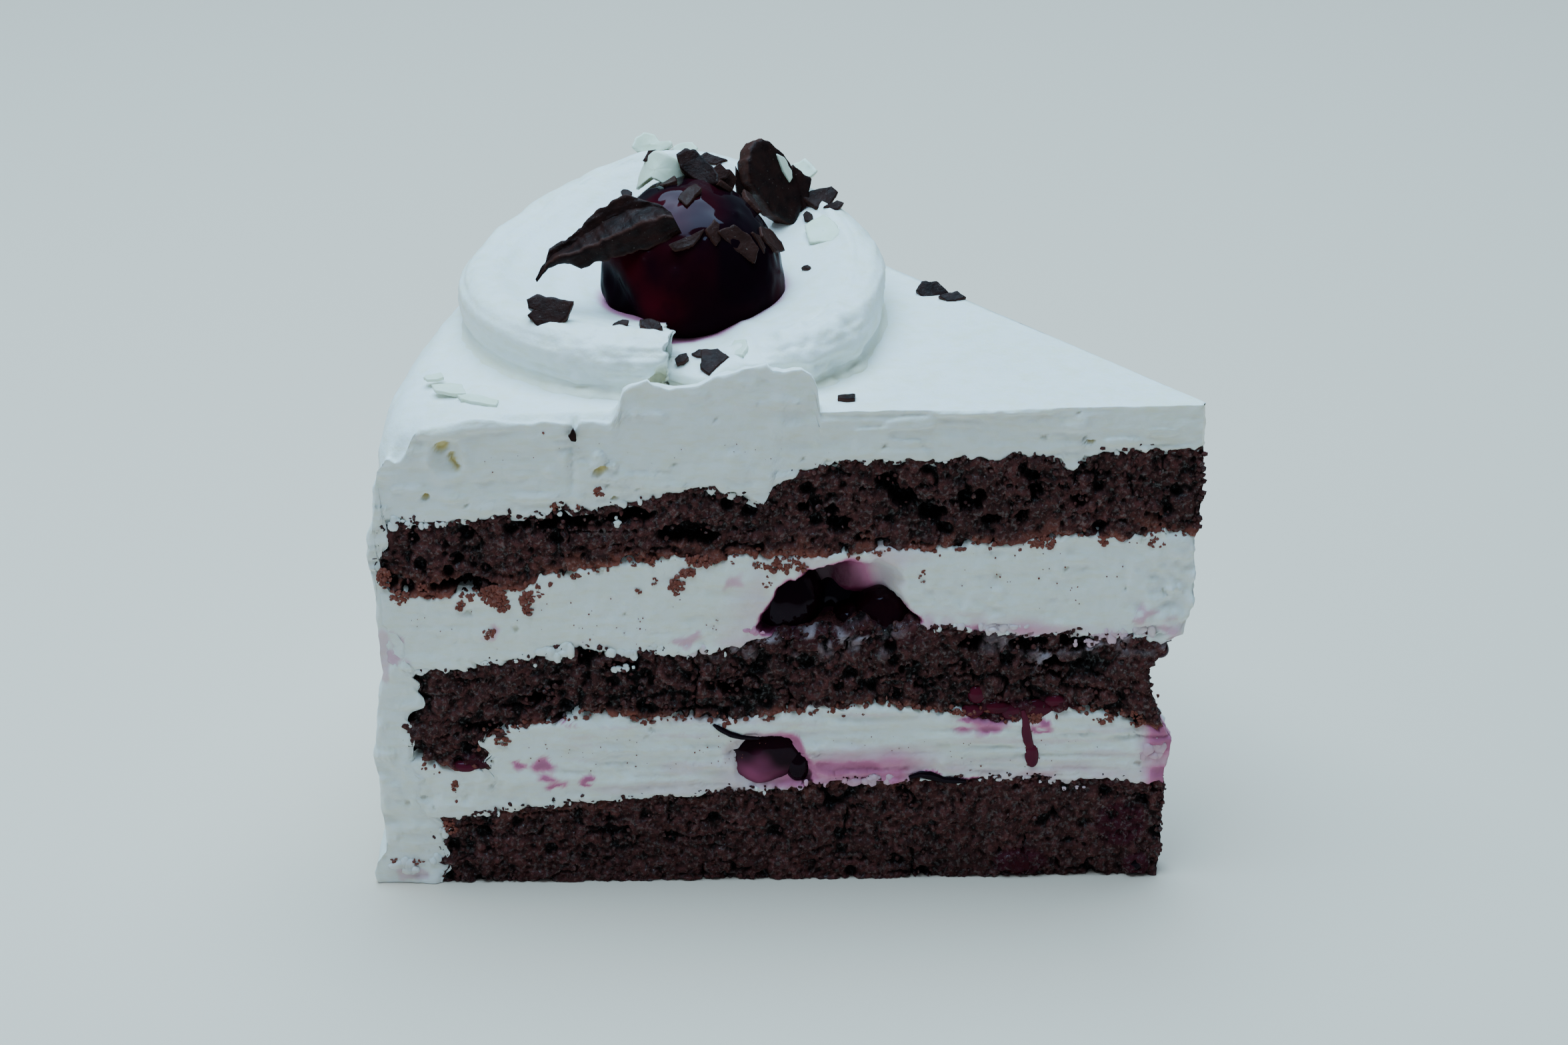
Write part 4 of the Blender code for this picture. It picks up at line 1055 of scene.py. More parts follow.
# Across the fold at each distance from its tip: back edge, groove, front ridge and front edge
LEAF_LINES = (
    (0.0, 0.25, 0.05, -0.05, -0.25), (2.5, 2.0, 1.55, 1.15, 0.75), (3.9, 3.45, 2.0, 1.35, 0.65),
    (5.6, 3.35, 2.1, 1.2, 0.0), (6.7, 3.3, 2.0, 0.9, -1.5), (7.7, 3.35, 2.0, 0.75, -1.45),
    (10.2, 4.25, 2.45, 0.6, -2.0), (12.8, 4.85, 2.7, 0.4, -2.55), (15.4, 5.2, 2.65, 0.15, -3.25),
    (17.6, 5.05, 2.3, 0.0, -3.5), (19.2, 3.5, 1.7, -0.2, -3.6), (21.4, 1.2, 0.4, -0.7, -3.6),
    (22.2, -0.6, -0.9, -1.4, -3.4),
)
LEAF_FOLDS = (-1.9, -1.9, 1.1, 0.2)


def leaf():
    """The long shaving, folded into a groove with a standing blade in front."""
    lines = np.array(LEAF_LINES)
    steps = np.linspace(0, lines[-1, 0], 110)
    controls = np.stack([np.interp(steps, lines[:, 0], lines[:, k]) for k in (1, 2, 3, 4)], axis=-1)
    spot = np.stack([steps, np.zeros_like(steps), np.zeros_like(steps)], axis=-1)
    for k in range(4):
        uneven = 0.18 * noise(spot, 1.3, 301 + k) + 0.12 * noise(spot, 0.6, 311 + k)
        controls[:, k] += uneven * ramp(steps, 0, 3)
    strength = ramp(steps, 0, 6)[:, None]
    across = 61
    share = np.linspace(0, 3, across)
    offset = np.array([np.interp(share, range(4), row) for row in controls])
    fold = np.interp(share, range(4), LEAF_FOLDS)[None, :] * strength + 0.08 * steps[:, None]
    for _ in range(2):
        fold[:, 1:-1] = (fold[:, :-2] + 2 * fold[:, 1:-1] + fold[:, 2:]) / 4
    runs = np.broadcast_to(steps[:, None], offset.shape)
    flat = np.stack([runs, offset, 0 * offset], axis=-1).reshape(-1, 3)
    grain = 0.14 * noise(flat, (5.0, 1.0, 1.0), 321) + 0.08 * noise(flat, (1.6, 0.5, 0.5), 323)
    grain = grain.reshape(offset.shape)
    slope_o, slope_f = np.gradient(offset, axis=1), np.gradient(fold, axis=1)
    length = np.hypot(slope_o, slope_f) + 1e-9
    thin_edge = 1 - 0.55 * np.abs(share / 1.5 - 1)[None, :] ** 8
    thick = (0.16 + 0.30 * strength) * thin_edge
    towards = np.cross(LEAF_RUNS, LEAF_UP)
    sheets = []
    for side in (1, -1):
        up = offset + side * thick * slope_f / length
        out = fold - side * thick * slope_o / length + grain
        line = np.array(LEAF_TIP) + steps[:, None, None] * LEAF_RUNS
        sheets.append(line + up[..., None] * LEAF_UP + out[..., None] * towards)
    loop = np.concatenate([sheets[0], sheets[1][:, ::-1]], axis=1)
    rows, columns = loop.shape[:2]
    faces = [face[::-1] for face in grid_faces(rows, columns, loop=True)]
    faces.append(list(range(columns)))
    faces.append(list(range((rows - 1) * columns, rows * columns))[::-1])
    near_edge = np.abs(share / 1.5 - 1) ** 14 + np.exp(-(((share - 2) / 0.05) ** 2))
    edge = np.concatenate([near_edge, near_edge[::-1]])
    return loop.reshape(-1, 3), faces, {"edge": np.broadcast_to(edge, (rows, columns)).reshape(-1).copy()}


def lay(place, outline, thick, seed, surface, sink=0.25, turn=0.0, bend=0.0, tilt=(0.0, 0.0)):
    """A shard that lies on a surface."""
    height, facing = surface(*place)
    facing = unit_vector(facing + np.array([tilt[0], tilt[1], 0.0]))
    middle = np.array([*place, height]) + facing * (thick * (0.5 - sink))
    return shard(middle, facing, outline, thick, seed, bend, turn)


def browner(parts, least):
    """The flakes with at least this much of the broken edge's brown."""
    return [(points, faces, {"edge": np.maximum(marks["edge"], least)}) for points, faces, marks in parts]


def shavings(dark, white):
    add_joined("shaving_leaf", [leaf()], dark, "dark_chocolate", ("shaving_long",))
    slab = [
        shard((58.7, 51.1, 93.9), SLAB_FACING, SLAB_OUTLINE, 3.0, 11, 0.1),
        shard((62.8, 52.4, 90.5), (0.3, -0.90, 0.30), SLAB_BEHIND, 1.2, 12, 0.3),
        shard((54.6, 49.0, 93.6), (0.2, -0.95, 0.2), THIN_OUTLINE, 0.9, 15, 0.2),
    ]
    add_joined("shaving_slab_piece", slab, dark, "dark_chocolate", ("shaving_slab",))
    top = [shard((48.3, 37.2, 100.4), (-0.1, -0.75, 0.65), TOP_CHIP, 1.9, 13, 0.3)]
    add_joined("shaving_top_piece", top, dark, "dark_chocolate", ("shaving_top",))
    pale = [shard((41.8, 37.4, 100.3), (-0.3, -0.75, 0.6), WHITE_CHIP, 1.1, 14, -0.9)]
    add_joined("shaving_white_piece", pale, white, "white_chocolate", ("shaving_white",))

    on_cherry = []
    for count, (place, outline) in enumerate(CHERRY_FLAKES):
        tilt = ((count * 7 % 5 - 2) * 0.10, (count * 5 % 3 - 1) * 0.12)
        on_cherry.append(lay(place, outline, 0.8, 20 + count, dome_surface, 0.1, 0.0, 0.15, tilt))
    on_cherry += [
        shard((50.9, 37.0, 100.0), (0.3, -0.8, 0.6), random_outline(1.7, 61, slim=0.8), 0.9, 62),
        shard((52.6, 38.2, 98.6), (0.2, -0.9, 0.4), random_outline(1.5, 63, slim=1.2), 0.9, 64),
        shard((42.3, 39.6, 101.9), (-0.1, -0.8, 0.6), REAR_DARK, 0.8, 66),
        shard((46.6, 35.6, 98.9), (0.1, -0.8, 0.6), random_outline(1.5, 67, slim=0.7), 0.8, 68),
    ]
    add_joined("flakes_on_cherry", browner(on_cherry, 0.55), dark, "dark_chocolate", ("cherry_top",))

    on_ring = [
        shard((25.7, 15.9, 86.2), (-0.15, -0.78, 0.62), LEFT_FLAKE, 1.5, 41, 0.15),
        lay((36.9, 14.5), random_outline(1.2, 5, slim=0.8), 0.9, 42, ring_surface, tilt=(0.1, -0.5)),
        lay((40.7, 12.9), random_outline(1.7, 6, slim=0.9), 1.2, 43, ring_surface, tilt=(0.2, -0.6)),
        lay((42.0, 11.6), random_outline(1.1, 17, slim=0.6), 1.0, 54, ring_surface, tilt=(-0.2, -0.5)),
        lay((49.9, 9.4), VALLEY_FLAKE, 1.1, 44, ring_surface, tilt=(0.1, -0.5)),
        lay((48.4, 12.6), random_outline(1.6, 8, slim=0.6), 1.0, 45, ring_surface, tilt=(0.1, -0.5)),
        lay((45.4, 11.6), random_outline(1.0, 9, slim=1.2), 0.8, 46, ring_surface, tilt=(0.0, -0.5)),
        lay((67.0, 53.4), random_outline(2.7, 10, slim=0.75), 1.3, 47, ring_surface, tilt=(0.1, -0.6)),
        lay((68.8, 51.2), random_outline(1.5, 16, slim=0.6), 1.0, 53, ring_surface, tilt=(0.1, -0.5)),
        lay((65.2, 49.4), random_outline(1.0, 11), 0.9, 48, ring_surface, tilt=(0.0, -0.4)),
        lay((50.2, 63.5), random_outline(2.2, 12, slim=0.5), 1.0, 49, ring_surface, tilt=(0.0, -0.3)),
        lay((36.8, 58.0), random_outline(0.8, 13), 0.6, 50, ring_surface),
        lay((64.3, 36.4), random_outline(0.7, 14), 0.6, 51, ring_surface),
        lay((65.6, 44.0), random_outline(0.5, 15), 0.4, 52, ring_surface),
    ]
    add_joined("flakes_on_ring", browner(on_ring, 0.42), dark, "dark_chocolate", ("cream_ring",))

    white_ring = [
        shard((40.4, 67.2, 94.2), (0.0, -0.75, 0.66), REAR_WHITE, 0.9, 61, 0.3),
        shard((45.6, 67.0, 93.6), (0.1, -0.7, 0.7), random_outline(2.0, 25, slim=0.6), 0.8, 65, 0.2),
        shard((63.0, 57.4, 92.2), (0.2, -0.6, 0.78), random_outline(2.9, 22, slim=1.0), 0.9, 62, 0.4),
        lay(
            (67.2, 45.0), random_outline(3.6, 23, slim=0.85), 0.8, 63, ring_surface, 0.2,
            tilt=(0.1, -0.2),
        ),
        lay((54.0, 11.4), random_outline(2.4, 24, slim=0.7), 0.8, 64, ring_surface, 0.35),
        shard((61.3, 52.1, 95.7), SLAB_FACING, SLAB_FLECK, 0.7, 66),
    ]
    add_joined("white_on_ring", white_ring, white, "white_chocolate", ("cream_ring",))

    on_coat = [
        shard((29.9, -0.35, 73.8), (0.0, -1.0, 0.1), CUT_FLAKE, 0.8, 75),
        lay((69.4, 3.9), random_outline(1.8, 31, slim=0.55), 0.9, 71, ring_surface, turn=0.4),
        lay((83.6, 45.6), random_outline(2.4, 32, slim=0.7), 1.0, 72, ring_surface, tilt=(0.1, -0.9)),
        lay((86.8, 42.8), random_outline(2.0, 33, slim=0.6), 0.9, 73, ring_surface, tilt=(0.0, -0.6)),
    ]
    add_joined("flakes_on_coat", on_coat, dark, "dark_chocolate", ("cream_coat",))
    white_coat = [
        lay((12.0, 10.0), random_outline(2.6, 34, slim=0.6), 0.6, 74, ring_surface, 0.3, turn=-0.5),
        lay((16.6, 5.4), random_outline(3.4, 35, slim=0.4), 0.6, 75, ring_surface, 0.3, turn=-0.6),
        lay((9.0, 14.6), random_outline(1.8, 36, slim=0.7), 0.5, 76, ring_surface, 0.3),
    ]
    add_joined("white_on_coat", white_coat, white, "white_chocolate", ("cream_coat",))


# Clusters on the first cut face: (along, height, half length, half height, how many, size)
SMEARED_CRUMBS = (
    (17.6, 48.3, 2.0, 1.6, 46, 0.55), (2.0, 51.4, 1.0, 1.6, 26, 0.5), (19.2, 46.6, 0.9, 1.0, 14, 0.5),
    (22.6, 47.0, 0.9, 1.9, 24, 0.5), (23.6, 48.6, 1.4, 0.6, 10, 0.45), (12.9, 46.7, 0.7, 0.8, 10, 0.42),
    (14.5, 48.2, 0.7, 0.6, 8, 0.45), (4.0, 48.2, 1.4, 1.1, 18, 0.5), (7.5, 49.6, 1.0, 0.8, 8, 0.5),
    (44.4, 49.6, 1.1, 1.6, 24, 0.5), (46.0, 51.8, 1.3, 0.7, 14, 0.5), (48.0, 53.6, 2.8, 0.9, 24, 0.55),
    (41.2, 50.4, 0.4, 0.6, 4, 0.35), (40.8, 53.4, 0.5, 0.5, 4, 0.4), (38.8, 48.8, 0.5, 0.4, 3, 0.35),
    (57.6, 50.2, 0.7, 0.9, 8, 0.42), (60.6, 52.6, 3.0, 1.0, 26, 0.5), (56.6, 52.8, 1.2, 0.6, 8, 0.4),
    (97.8, 55.9, 2.1, 1.0, 24, 0.5), (106.5, 56.4, 1.0, 0.8, 10, 0.45), (115.2, 55.8, 2.2, 0.9, 18, 0.42),
    (80.2, 50.8, 0.6, 1.3, 6, 0.32), (73.6, 54.6, 0.9, 0.4, 5, 0.35), (16.9, 42.2, 0.9, 0.8, 12, 0.42),
    (33.6, 64.8, 0.9, 0.8, 10, 0.42), (26.9, 62.6, 0.5, 0.5, 5, 0.36), (30.4, 62.4, 0.3, 0.4, 3, 0.3),
    (32.1, 66.5, 0.4, 0.3, 2, 0.3), (97.1, 21.4, 0.9, 2.6, 9, 0.34), (97.2, 27.2, 1.4, 0.8, 16, 0.5),
    (18.2, 24.2, 1.3, 0.7, 12, 0.42), (10.9, 16.6, 0.5, 1.0, 9, 0.38), (10.6, 13.8, 0.6, 0.4, 5, 0.34),
    (107.6, 27.0, 1.6, 0.8, 12, 0.4), (112.6, 27.0, 1.0, 1.6, 14, 0.4), (86.0, 28.3, 1.2, 0.6, 8, 0.38),
    (4.6, 3.6, 1.0, 0.5, 5, 0.32), (1.0, 3.9, 0.7, 0.4, 4, 0.3), (25.6, 74.2, 0.25, 0.2, 1, 0.22),
    (10.0, 9.6, 1.2, 1.4, 16, 0.42), (29.0, 44.0, 24.0, 5.0, 26, 0.16), (86.0, 22.0, 26.0, 3.6, 22, 0.15),
    (40.0, 70.0, 30.0, 3.2, 14, 0.13), (98.0, 50.0, 15.0, 4.6, 16, 0.2),
    (40.0, 22.0, 20.0, 3.6, 22, 0.16),
)
# Dabs of cream pressed on the sponges, the last number how much cherry juice has tinted them
CREAM_DABS = (
    (4.4, 60.0, 2.6, 0.5, 10, 0.6, 0.0), (9.4, 59.8, 2.4, 0.3, 5, 0.5, 0.0),
    (26.0, 61.4, 2.4, 0.3, 4, 0.5, 0.0), (36.0, 60.4, 0.4, 1.2, 4, 0.45, 0.0),
    (6.6, 36.3, 2.4, 0.6, 9, 0.7, 0.0), (26.6, 38.8, 2.4, 0.7, 11, 0.9, 0.0),
    (36.6, 38.6, 2.0, 0.6, 9, 0.6, 0.0), (36.6, 36.1, 1.6, 0.5, 7, 0.45, 0.0),
    (41.6, 39.6, 2.2, 0.5, 5, 0.7, 0.0), (46.8, 39.0, 2.4, 0.6, 5, 0.6, 0.16),
    (56.0, 42.2, 1.6, 0.6, 7, 0.5, 0.36), (91.0, 42.3, 7.0, 0.4, 12, 0.75, 0.14),
    (107.8, 41.0, 2.6, 0.9, 14, 0.7, 0.24), (104.6, 39.6, 2.4, 0.4, 7, 0.45, 0.24),
    (111.6, 41.4, 3.0, 0.7, 8, 0.8, 0.14), (114.8, 21.6, 1.6, 2.2, 14, 0.9, 0.25),
    (101.0, 16.4, 5.6, 0.4, 11, 0.45, 0.12), (104.4, 15.0, 3.0, 0.4, 5, 0.3, 0.2),
    (94.0, 16.9, 3.6, 0.3, 6, 0.5, 0.14), (9.0, 9.6, 0.8, 1.4, 5, 0.5, 0.0),
    (7.8, 3.4, 0.8, 2.6, 7, 0.6, 0.0), (2.6, 2.4, 2.0, 1.4, 8, 1.0, 0.03),
    (67.0, 16.6, 4.0, 0.5, 7, 0.7, 0.3), (75.0, 16.8, 3.6, 0.6, 8, 0.75, 0.25),
    (34.0, 70.0, 0.7, 0.6, 3, 0.6, 0.0),
)
FACES = ((0.0, 1.0), (WEDGE, 0.45))  # angle of each cut face, and how many of the loose crumbs it gets
# Each sponge's floor and top, where its loose crumbs begin and end, and the largest crumb
CRUMBLY = (
    (None, BOTTOM_SPONGE_TOP, 9.0, 116.0, 0.42),
    (MIDDLE_SPONGE_FLOOR, MIDDLE_SPONGE_TOP, 6.0, 114.0, 0.5),
    (TOP_SPONGE_FLOOR, TOP_SPONGE_TOP, 3.0, 119.5, 0.45),
)
CRUMBS_A_SPONGE = 620
CRUMBLY_TIPS = ((0.5, 16.0), (27.0, 40.0), (57.5, 70.0))  # heights of the sponges' tips
CRUMBS_A_TIP = 46
# Boundaries with small dabs of cream on them, and where the dabs begin and end
DABBED = ((BOTTOM_SPONGE_TOP, 10, 115), (MIDDLE_SPONGE_TOP, 8, 112), (TOP_SPONGE_TOP, 4, 119))
DABS_A_BOUNDARY = 15
CHERRIES_FROM, CHERRIES_TO = 56, 81  # the stretch of the middle sponge that lies under cherries


def lump(detail):
    """A round seed shape for crumbs and dabs."""
    shape = bmesh.new()
    bmesh.ops.create_icosphere(shape, subdivisions=detail, radius=1.0)
    points = np.array([vertex.co[:] for vertex in shape.verts])
    faces = [tuple(vertex.index for vertex in face.verts) for face in shape.faces]
    shape.free()
    return points, faces


def lumps(name, places, finish, slot, marks_of, seed, flat=0.7, smooth=False):
    """Many small lumps stuck on the cut faces: (angle, along, out, height, size, mark)."""
    ball, faces = lump(2 if smooth else 1)
    angle, along, out, height, size, mark = np.array(places, dtype=float).T[..., None]
    dice = np.random.default_rng(seed)
    shape = ball[None] * (size * dice.uniform(0.6, 1.35, (len(places), 3)))[:, None, :]
    if smooth:
        spot = (ball[None] * 1.1 + np.arange(len(places))[:, None, None] * 5.3).reshape(-1, 3)
        uneven = 1 + 0.45 * noise(spot, 1.0, seed).reshape(len(places), len(ball))
    else:
        uneven = 1 + 0.32 * dice.uniform(-1, 1, (len(places), len(ball)))
    shape = shape * uneven[..., None]
    r = CAKE_RADIUS - along - shape[..., 0]
    away = out + flat * shape[..., 1]
    x = CAKE_RADIUS - r * np.cos(angle) + away * np.sin(angle)
    y = r * np.sin(angle) + away * np.where(angle > 0, np.cos(angle), -1.0)
    points = np.stack([x, y, np.maximum(height + shape[..., 2], 0.02)], axis=-1).reshape(-1, 3)
    all_faces = (np.array(faces)[None] + len(ball) * np.arange(len(places))[:, None, None]).reshape(-1, 3)
    marks = marks_of(np.repeat(mark[:, 0], len(ball)))
    return add_piece(name, points, all_faces.tolist(), finish, slot, (), marks)


def clusters(groups, dice):
    """Random places in each group, as (along, height, size, tint)."""
    for along, height, wide, tall, count, size, *tint in groups:
        for _ in range(count):
            turn, reach = dice.uniform(0, 2 * math.pi), math.sqrt(dice.uniform(0, 1))
            a = along + wide * reach * math.cos(turn)
            h = height + tall * reach * math.sin(turn)
            yield a, h, size * dice.uniform(0.6, 1.25), (tint[0] if tint else 0.0)


def along_boundaries(dice, count, lines, first, last, angle):
    """Random places along a cut face, with the heights of these boundaries there."""
    along = dice.uniform(first, last, count)
    turn = np.full(count, angle)
    on_plate = np.full(count, 0.3)
    return along, [boundary(line, CAKE_RADIUS - along, turn) if line else on_plate for line in lines]


def crumbs(finish):
    """Crumbs dragged over the cream, and loose ones on the sponges and along their edges."""
    dice = np.random.default_rng(77)
    groups = [(*place[:4], int(place[4] * 2.2), 0.66 * place[5]) for place in SMEARED_CRUMBS]
    smeared = []
    for along, height, size, _ in clusters(groups, dice):
        smeared.append((0.0, along, 0.05, height, size, dice.uniform(0.75, 1.0)))

    # Each crumb gets a fixed amount of painted recess shade, too little to darken it.
    def marks_with(recess_shade):
        return lambda rust: {"rust": rust, "recess_shade": recess_shade + 0 * rust}

    lumps("smeared_crumbs", smeared, finish, "sponge", marks_with(0.1), 78)
    loose = []
    for angle, share in FACES:
        for floor, ceiling, first, last, largest in CRUMBLY:
            count = int(CRUMBS_A_SPONGE * share)
            along, (low, high) = along_boundaries(dice, count, (floor, ceiling), first, last, angle)
            inner = low + (high - low) * dice.uniform(0, 1, count)
            pick = dice.uniform(0, 1, count)
            ragged = dice.normal(0, 0.4, count)
            edge = np.where((pick < 0.78) | (floor is None), high, low)
            height = np.where(pick < 0.5, inner, edge + ragged)
            rust = np.where((height < low + 1.2) & (floor is not None), 0.7, 0.0)
            size = dice.uniform(0.18, largest, count)
            loose += list(zip(np.full(count, angle), along, np.full(count, -0.1), height, size, rust))
    count = CRUMBS_A_TIP
    for low, high in CRUMBLY_TIPS:
        height = dice.uniform(low, high, count)
        along = CAKE_RADIUS - curve(TIP_RADIUS, height) + dice.uniform(-0.8, 0.15, count)
        size = dice.uniform(0.25, 0.5, count)
        out = dice.uniform(-0.5, 0.1, count)
        loose += list(zip(np.zeros(count), along, out, height, size, np.zeros(count)))
    lumps("loose_crumbs", loose, finish, "sponge", marks_with(0.12), 79)


def cream_dabs(finish):
    """Dabs of cream that the knife pressed on the sponges."""
    dice = np.random.default_rng(91)
    dabs = [(0.0, a, -0.12, h, size, tint) for a, h, size, tint in clusters(CREAM_DABS, dice)]
    for angle, share in FACES:
        for line, first, last in DABBED:
            count = int(DABS_A_BOUNDARY * share)
            along, (height,) = along_boundaries(dice, count, (line,), first, last, angle)
            height = height + 0.1 - 0.35 * np.abs(dice.normal(0, 1, count))
            size = dice.uniform(0.3, 0.6, count)
            if line is MIDDLE_SPONGE_TOP and angle == 0:
                size[(along > CHERRIES_FROM) & (along < CHERRIES_TO)] = 0.08
            turn, out = np.full(count, angle), np.full(count, -0.15)
            dabs += list(zip(turn, along, out, height, size, np.zeros(count)))
    lumps("cream_dabs", dabs, finish, "cream", lambda tint: {"stain": tint}, 92, 0.45, True)


# Materials


class Nodes:
    """Short names for building a material's nodes."""

    def __init__(self, name, roughness, **settings):
        self.material = bpy.data.materials.new(name)
        self.material.use_nodes = True
        self.tree = self.material.node_tree
        self.shader = self.tree.nodes["Principled BSDF"]
        self.set(self.shader, {"Roughness": roughness, **settings})
        self.place = self.add("ShaderNodeTexCoord").outputs["Object"]

    def add(self, kind, **inputs):
        node = self.tree.nodes.new(kind)
        self.set(node, inputs)
        return node

    def set(self, node, inputs):
        for label, value in inputs.items():
            socket = node.inputs[label.replace("_", " ") if isinstance(label, str) else label]
            if isinstance(value, bpy.types.NodeSocket):
                self.tree.links.new(value, socket)
            else:
                socket.default_value = value

    def noise(self, size, detail=2.0, roughness=0.5, stretch=None):
        place = self.place
        if stretch:
            scaled = self.add("ShaderNodeMapping", Vector=place, Scale=stretch)
            place = scaled.outputs["Vector"]
        node = self.add("ShaderNodeTexNoise", Vector=place, Scale=1 / (size * MM))
        self.set(node, {"Detail": detail, "Roughness": roughness})
        return node.outputs["Fac"]

    def cells(self, size):
        node = self.add("ShaderNodeTexVoronoi", Vector=self.place, Scale=1 / (size * MM))
        return node.outputs["Distance"]

    def mark(self, label):
        node = self.add("ShaderNodeAttribute")
        node.attribute_name = label
        return node.outputs["Fac"]

    def ramp(self, value, low, high, out_low=0.0, out_high=1.0):
        node = self.tree.nodes.new("ShaderNodeMapRange")
        self.set(node, {0: value, 1: low, 2: high, 3: out_low, 4: out_high})
        return node.outputs[0]

    def mix(self, share, a, b):
        node = self.tree.nodes.new("ShaderNodeMix")
        node.data_type = "RGBA"
        for socket, value in ((node.inputs[0], share), (node.inputs[6], a), (node.inputs[7], b)):
            if isinstance(value, bpy.types.NodeSocket):
                self.tree.links.new(value, socket)
            elif isinstance(value, tuple):
                socket.default_value = (*value, 1.0)
            else:
                socket.default_value = value
        return node.outputs[2]

    def math(self, operation, a, b):
        node = self.tree.nodes.new("ShaderNodeMath")
        node.operation = operation
        self.set(node, {0: a, 1: b})
        return node.outputs[0]

    def colour(self, value):
        self.tree.links.new(value, self.shader.inputs["Base Color"])

    def rough(self, value):
        self.tree.links.new(value, self.shader.inputs["Roughness"])

    def soft(self, scale, radius):
        """Light that goes a little way in."""
        settings = {"Subsurface Weight": 0.2, "Subsurface Scale": scale, "Subsurface Radius": radius}
        self.set(self.shader, settings)

    def bump(self, height, depth, strength):
        node = self.add("ShaderNodeBump", Height=height, Distance=depth * MM, Strength=strength)
        self.tree.links.new(node.outputs["Normal"], self.shader.inputs["Normal"])


def sponge_material():
    m = Nodes("sponge_look", 0.7, Specular_IOR_Level=0.22)
    base = m.mix(m.ramp(m.noise(1.1, 3.0), 0.35, 0.66), (0.0280, 0.0080, 0.0084), (0.122, 0.0340, 0.0320))
    base = m.mix(m.ramp(m.noise(8.0, 2.0), 0.35, 0.7, 0.0, 0.5), base, (0.018, 0.0072, 0.0065))
    # Painted highlights: small pale flecks stand in for glints on wet crumbs.
    base = m.mix(m.ramp(m.noise(0.42, 2.0), 0.60, 0.70, 0.0, 0.6), base, (0.165, 0.082, 0.066))
    base = m.mix(m.ramp(m.mark("rust"), 0.0, 1.0, 0.0, 0.85), base, (0.280, 0.078, 0.054))
    base = m.mix(m.ramp(m.mark("stain"), 0.0, 1.0, 0.0, 0.85), base, (0.050, 0.003, 0.011))
    base = m.mix(m.mark("frost"), base, (0.42, 0.33, 0.36))
    # Painted shade: recesses of the relief are coloured near black.
    base = m.mix(m.ramp(m.mark("recess_shade"), 0.18, 0.75, 0.0, 0.95), base, (0.0035, 0.0016, 0.0016))
    m.colour(base)
    wet = m.ramp(m.noise(0.6, 2.0), 0.53, 0.63)
    m.rough(m.ramp(wet, 0.0, 1.0, 0.75, 0.24))
    m.set(m.shader, {"Specular IOR Level": m.ramp(wet, 0.0, 1.0, 0.16, 0.65)})
    height = m.math("ADD", m.noise(0.45, 3.0, 0.6), m.math("MULTIPLY", m.cells(0.6), 0.3))
    m.bump(height, 0.30, 0.9)
    return m.material


def cream_material():
    m = Nodes("cream_look", 0.42, Specular_IOR_Level=0.35)
    m.soft(0.0014, (1.0, 0.75, 0.5))
    base = m.mix(m.ramp(m.noise(20.0, 2.0), 0.3, 0.7), (0.86, 0.86, 0.80), (0.86, 0.875, 0.86))
    warm = m.ramp(m.noise(3.0, 2.0, 0.6, (1.0, 1.0, 3.0)), 0.46, 0.7, 0.0, 0.5)
    base = m.mix(warm, base, (0.84, 0.80, 0.62))
    # Painted shade: pinholes, scoops, nicks and the ring's foot and seam are tinted yellow.
    base = m.mix(m.ramp(m.mark("recess_shade"), 0.0, 1.0, 0.0, 0.8), base, (0.95, 0.76, 0.26))
    stain = m.mark("stain")
    base = m.mix(m.ramp(stain, 0.0, 0.4), base, (0.68, 0.21, 0.37))
    base = m.mix(m.ramp(stain, 0.38, 0.65), base, (0.16, 0.018, 0.06))
    base = m.mix(m.ramp(stain, 0.65, 1.0), base, (0.02, 0.002, 0.008))
    m.colour(base)
    m.rough(m.ramp(m.noise(2.2, 2.0), 0.3, 0.7, 0.36, 0.52))
    m.bump(m.math("ADD", m.noise(0.7, 3.0, 0.6), m.noise(2.4, 2.0)), 0.12, 0.8)
    return m.material


def cherry_material():
    m = Nodes("cherry_look", 0.07, Specular_Tint=(0.88, 0.78, 1.0, 1.0))
    base = m.mix(m.ramp(m.mark("thin"), 0.0, 1.0), (0.0048, 0.0015, 0.0033), (0.082, 0.0022, 0.0070))
    base = m.mix(m.ramp(m.noise(3.5, 2.0), 0.45, 0.75, 0.0, 0.6), base, (0.008, 0.0008, 0.004))
    base = m.mix(m.mark("flesh"), base, (0.30, 0.060, 0.135))
    m.colour(base)
    m.set(m.shader, {"Specular IOR Level": m.ramp(m.mark("dim"), 0.0, 1.0, 0.11, 0.003)})
    m.rough(m.ramp(m.mark("dim"), 0.0, 1.0, 0.07, 0.24))
    m.bump(m.noise(2.6, 2.0), 0.10, 0.3)
    return m.material


def dark_material():
    m = Nodes("dark_chocolate_look", 0.5, Specular_IOR_Level=0.10)
    base = m.mix(m.ramp(m.noise(2.0, 3.0), 0.35, 0.7), (0.0090, 0.0030, 0.0026), (0.0240, 0.0072, 0.0056))
    base = m.mix(m.ramp(m.mark("edge"), 0.3, 1.0, 0.0, 0.8), base, (0.062, 0.022, 0.016))
    dust = m.ramp(m.noise(0.35, 1.0), 0.72, 0.78, 0.0, 0.4)
    base = m.mix(dust, base, (0.20, 0.15, 0.13))
    m.colour(base)
    m.rough(m.ramp(m.noise(1.2, 2.0), 0.3, 0.7, 0.38, 0.62))
    m.bump(m.math("ADD", m.noise(0.5, 3.0, 0.6), m.noise(1.6, 2.0)), 0.16, 0.7)
    return m.material


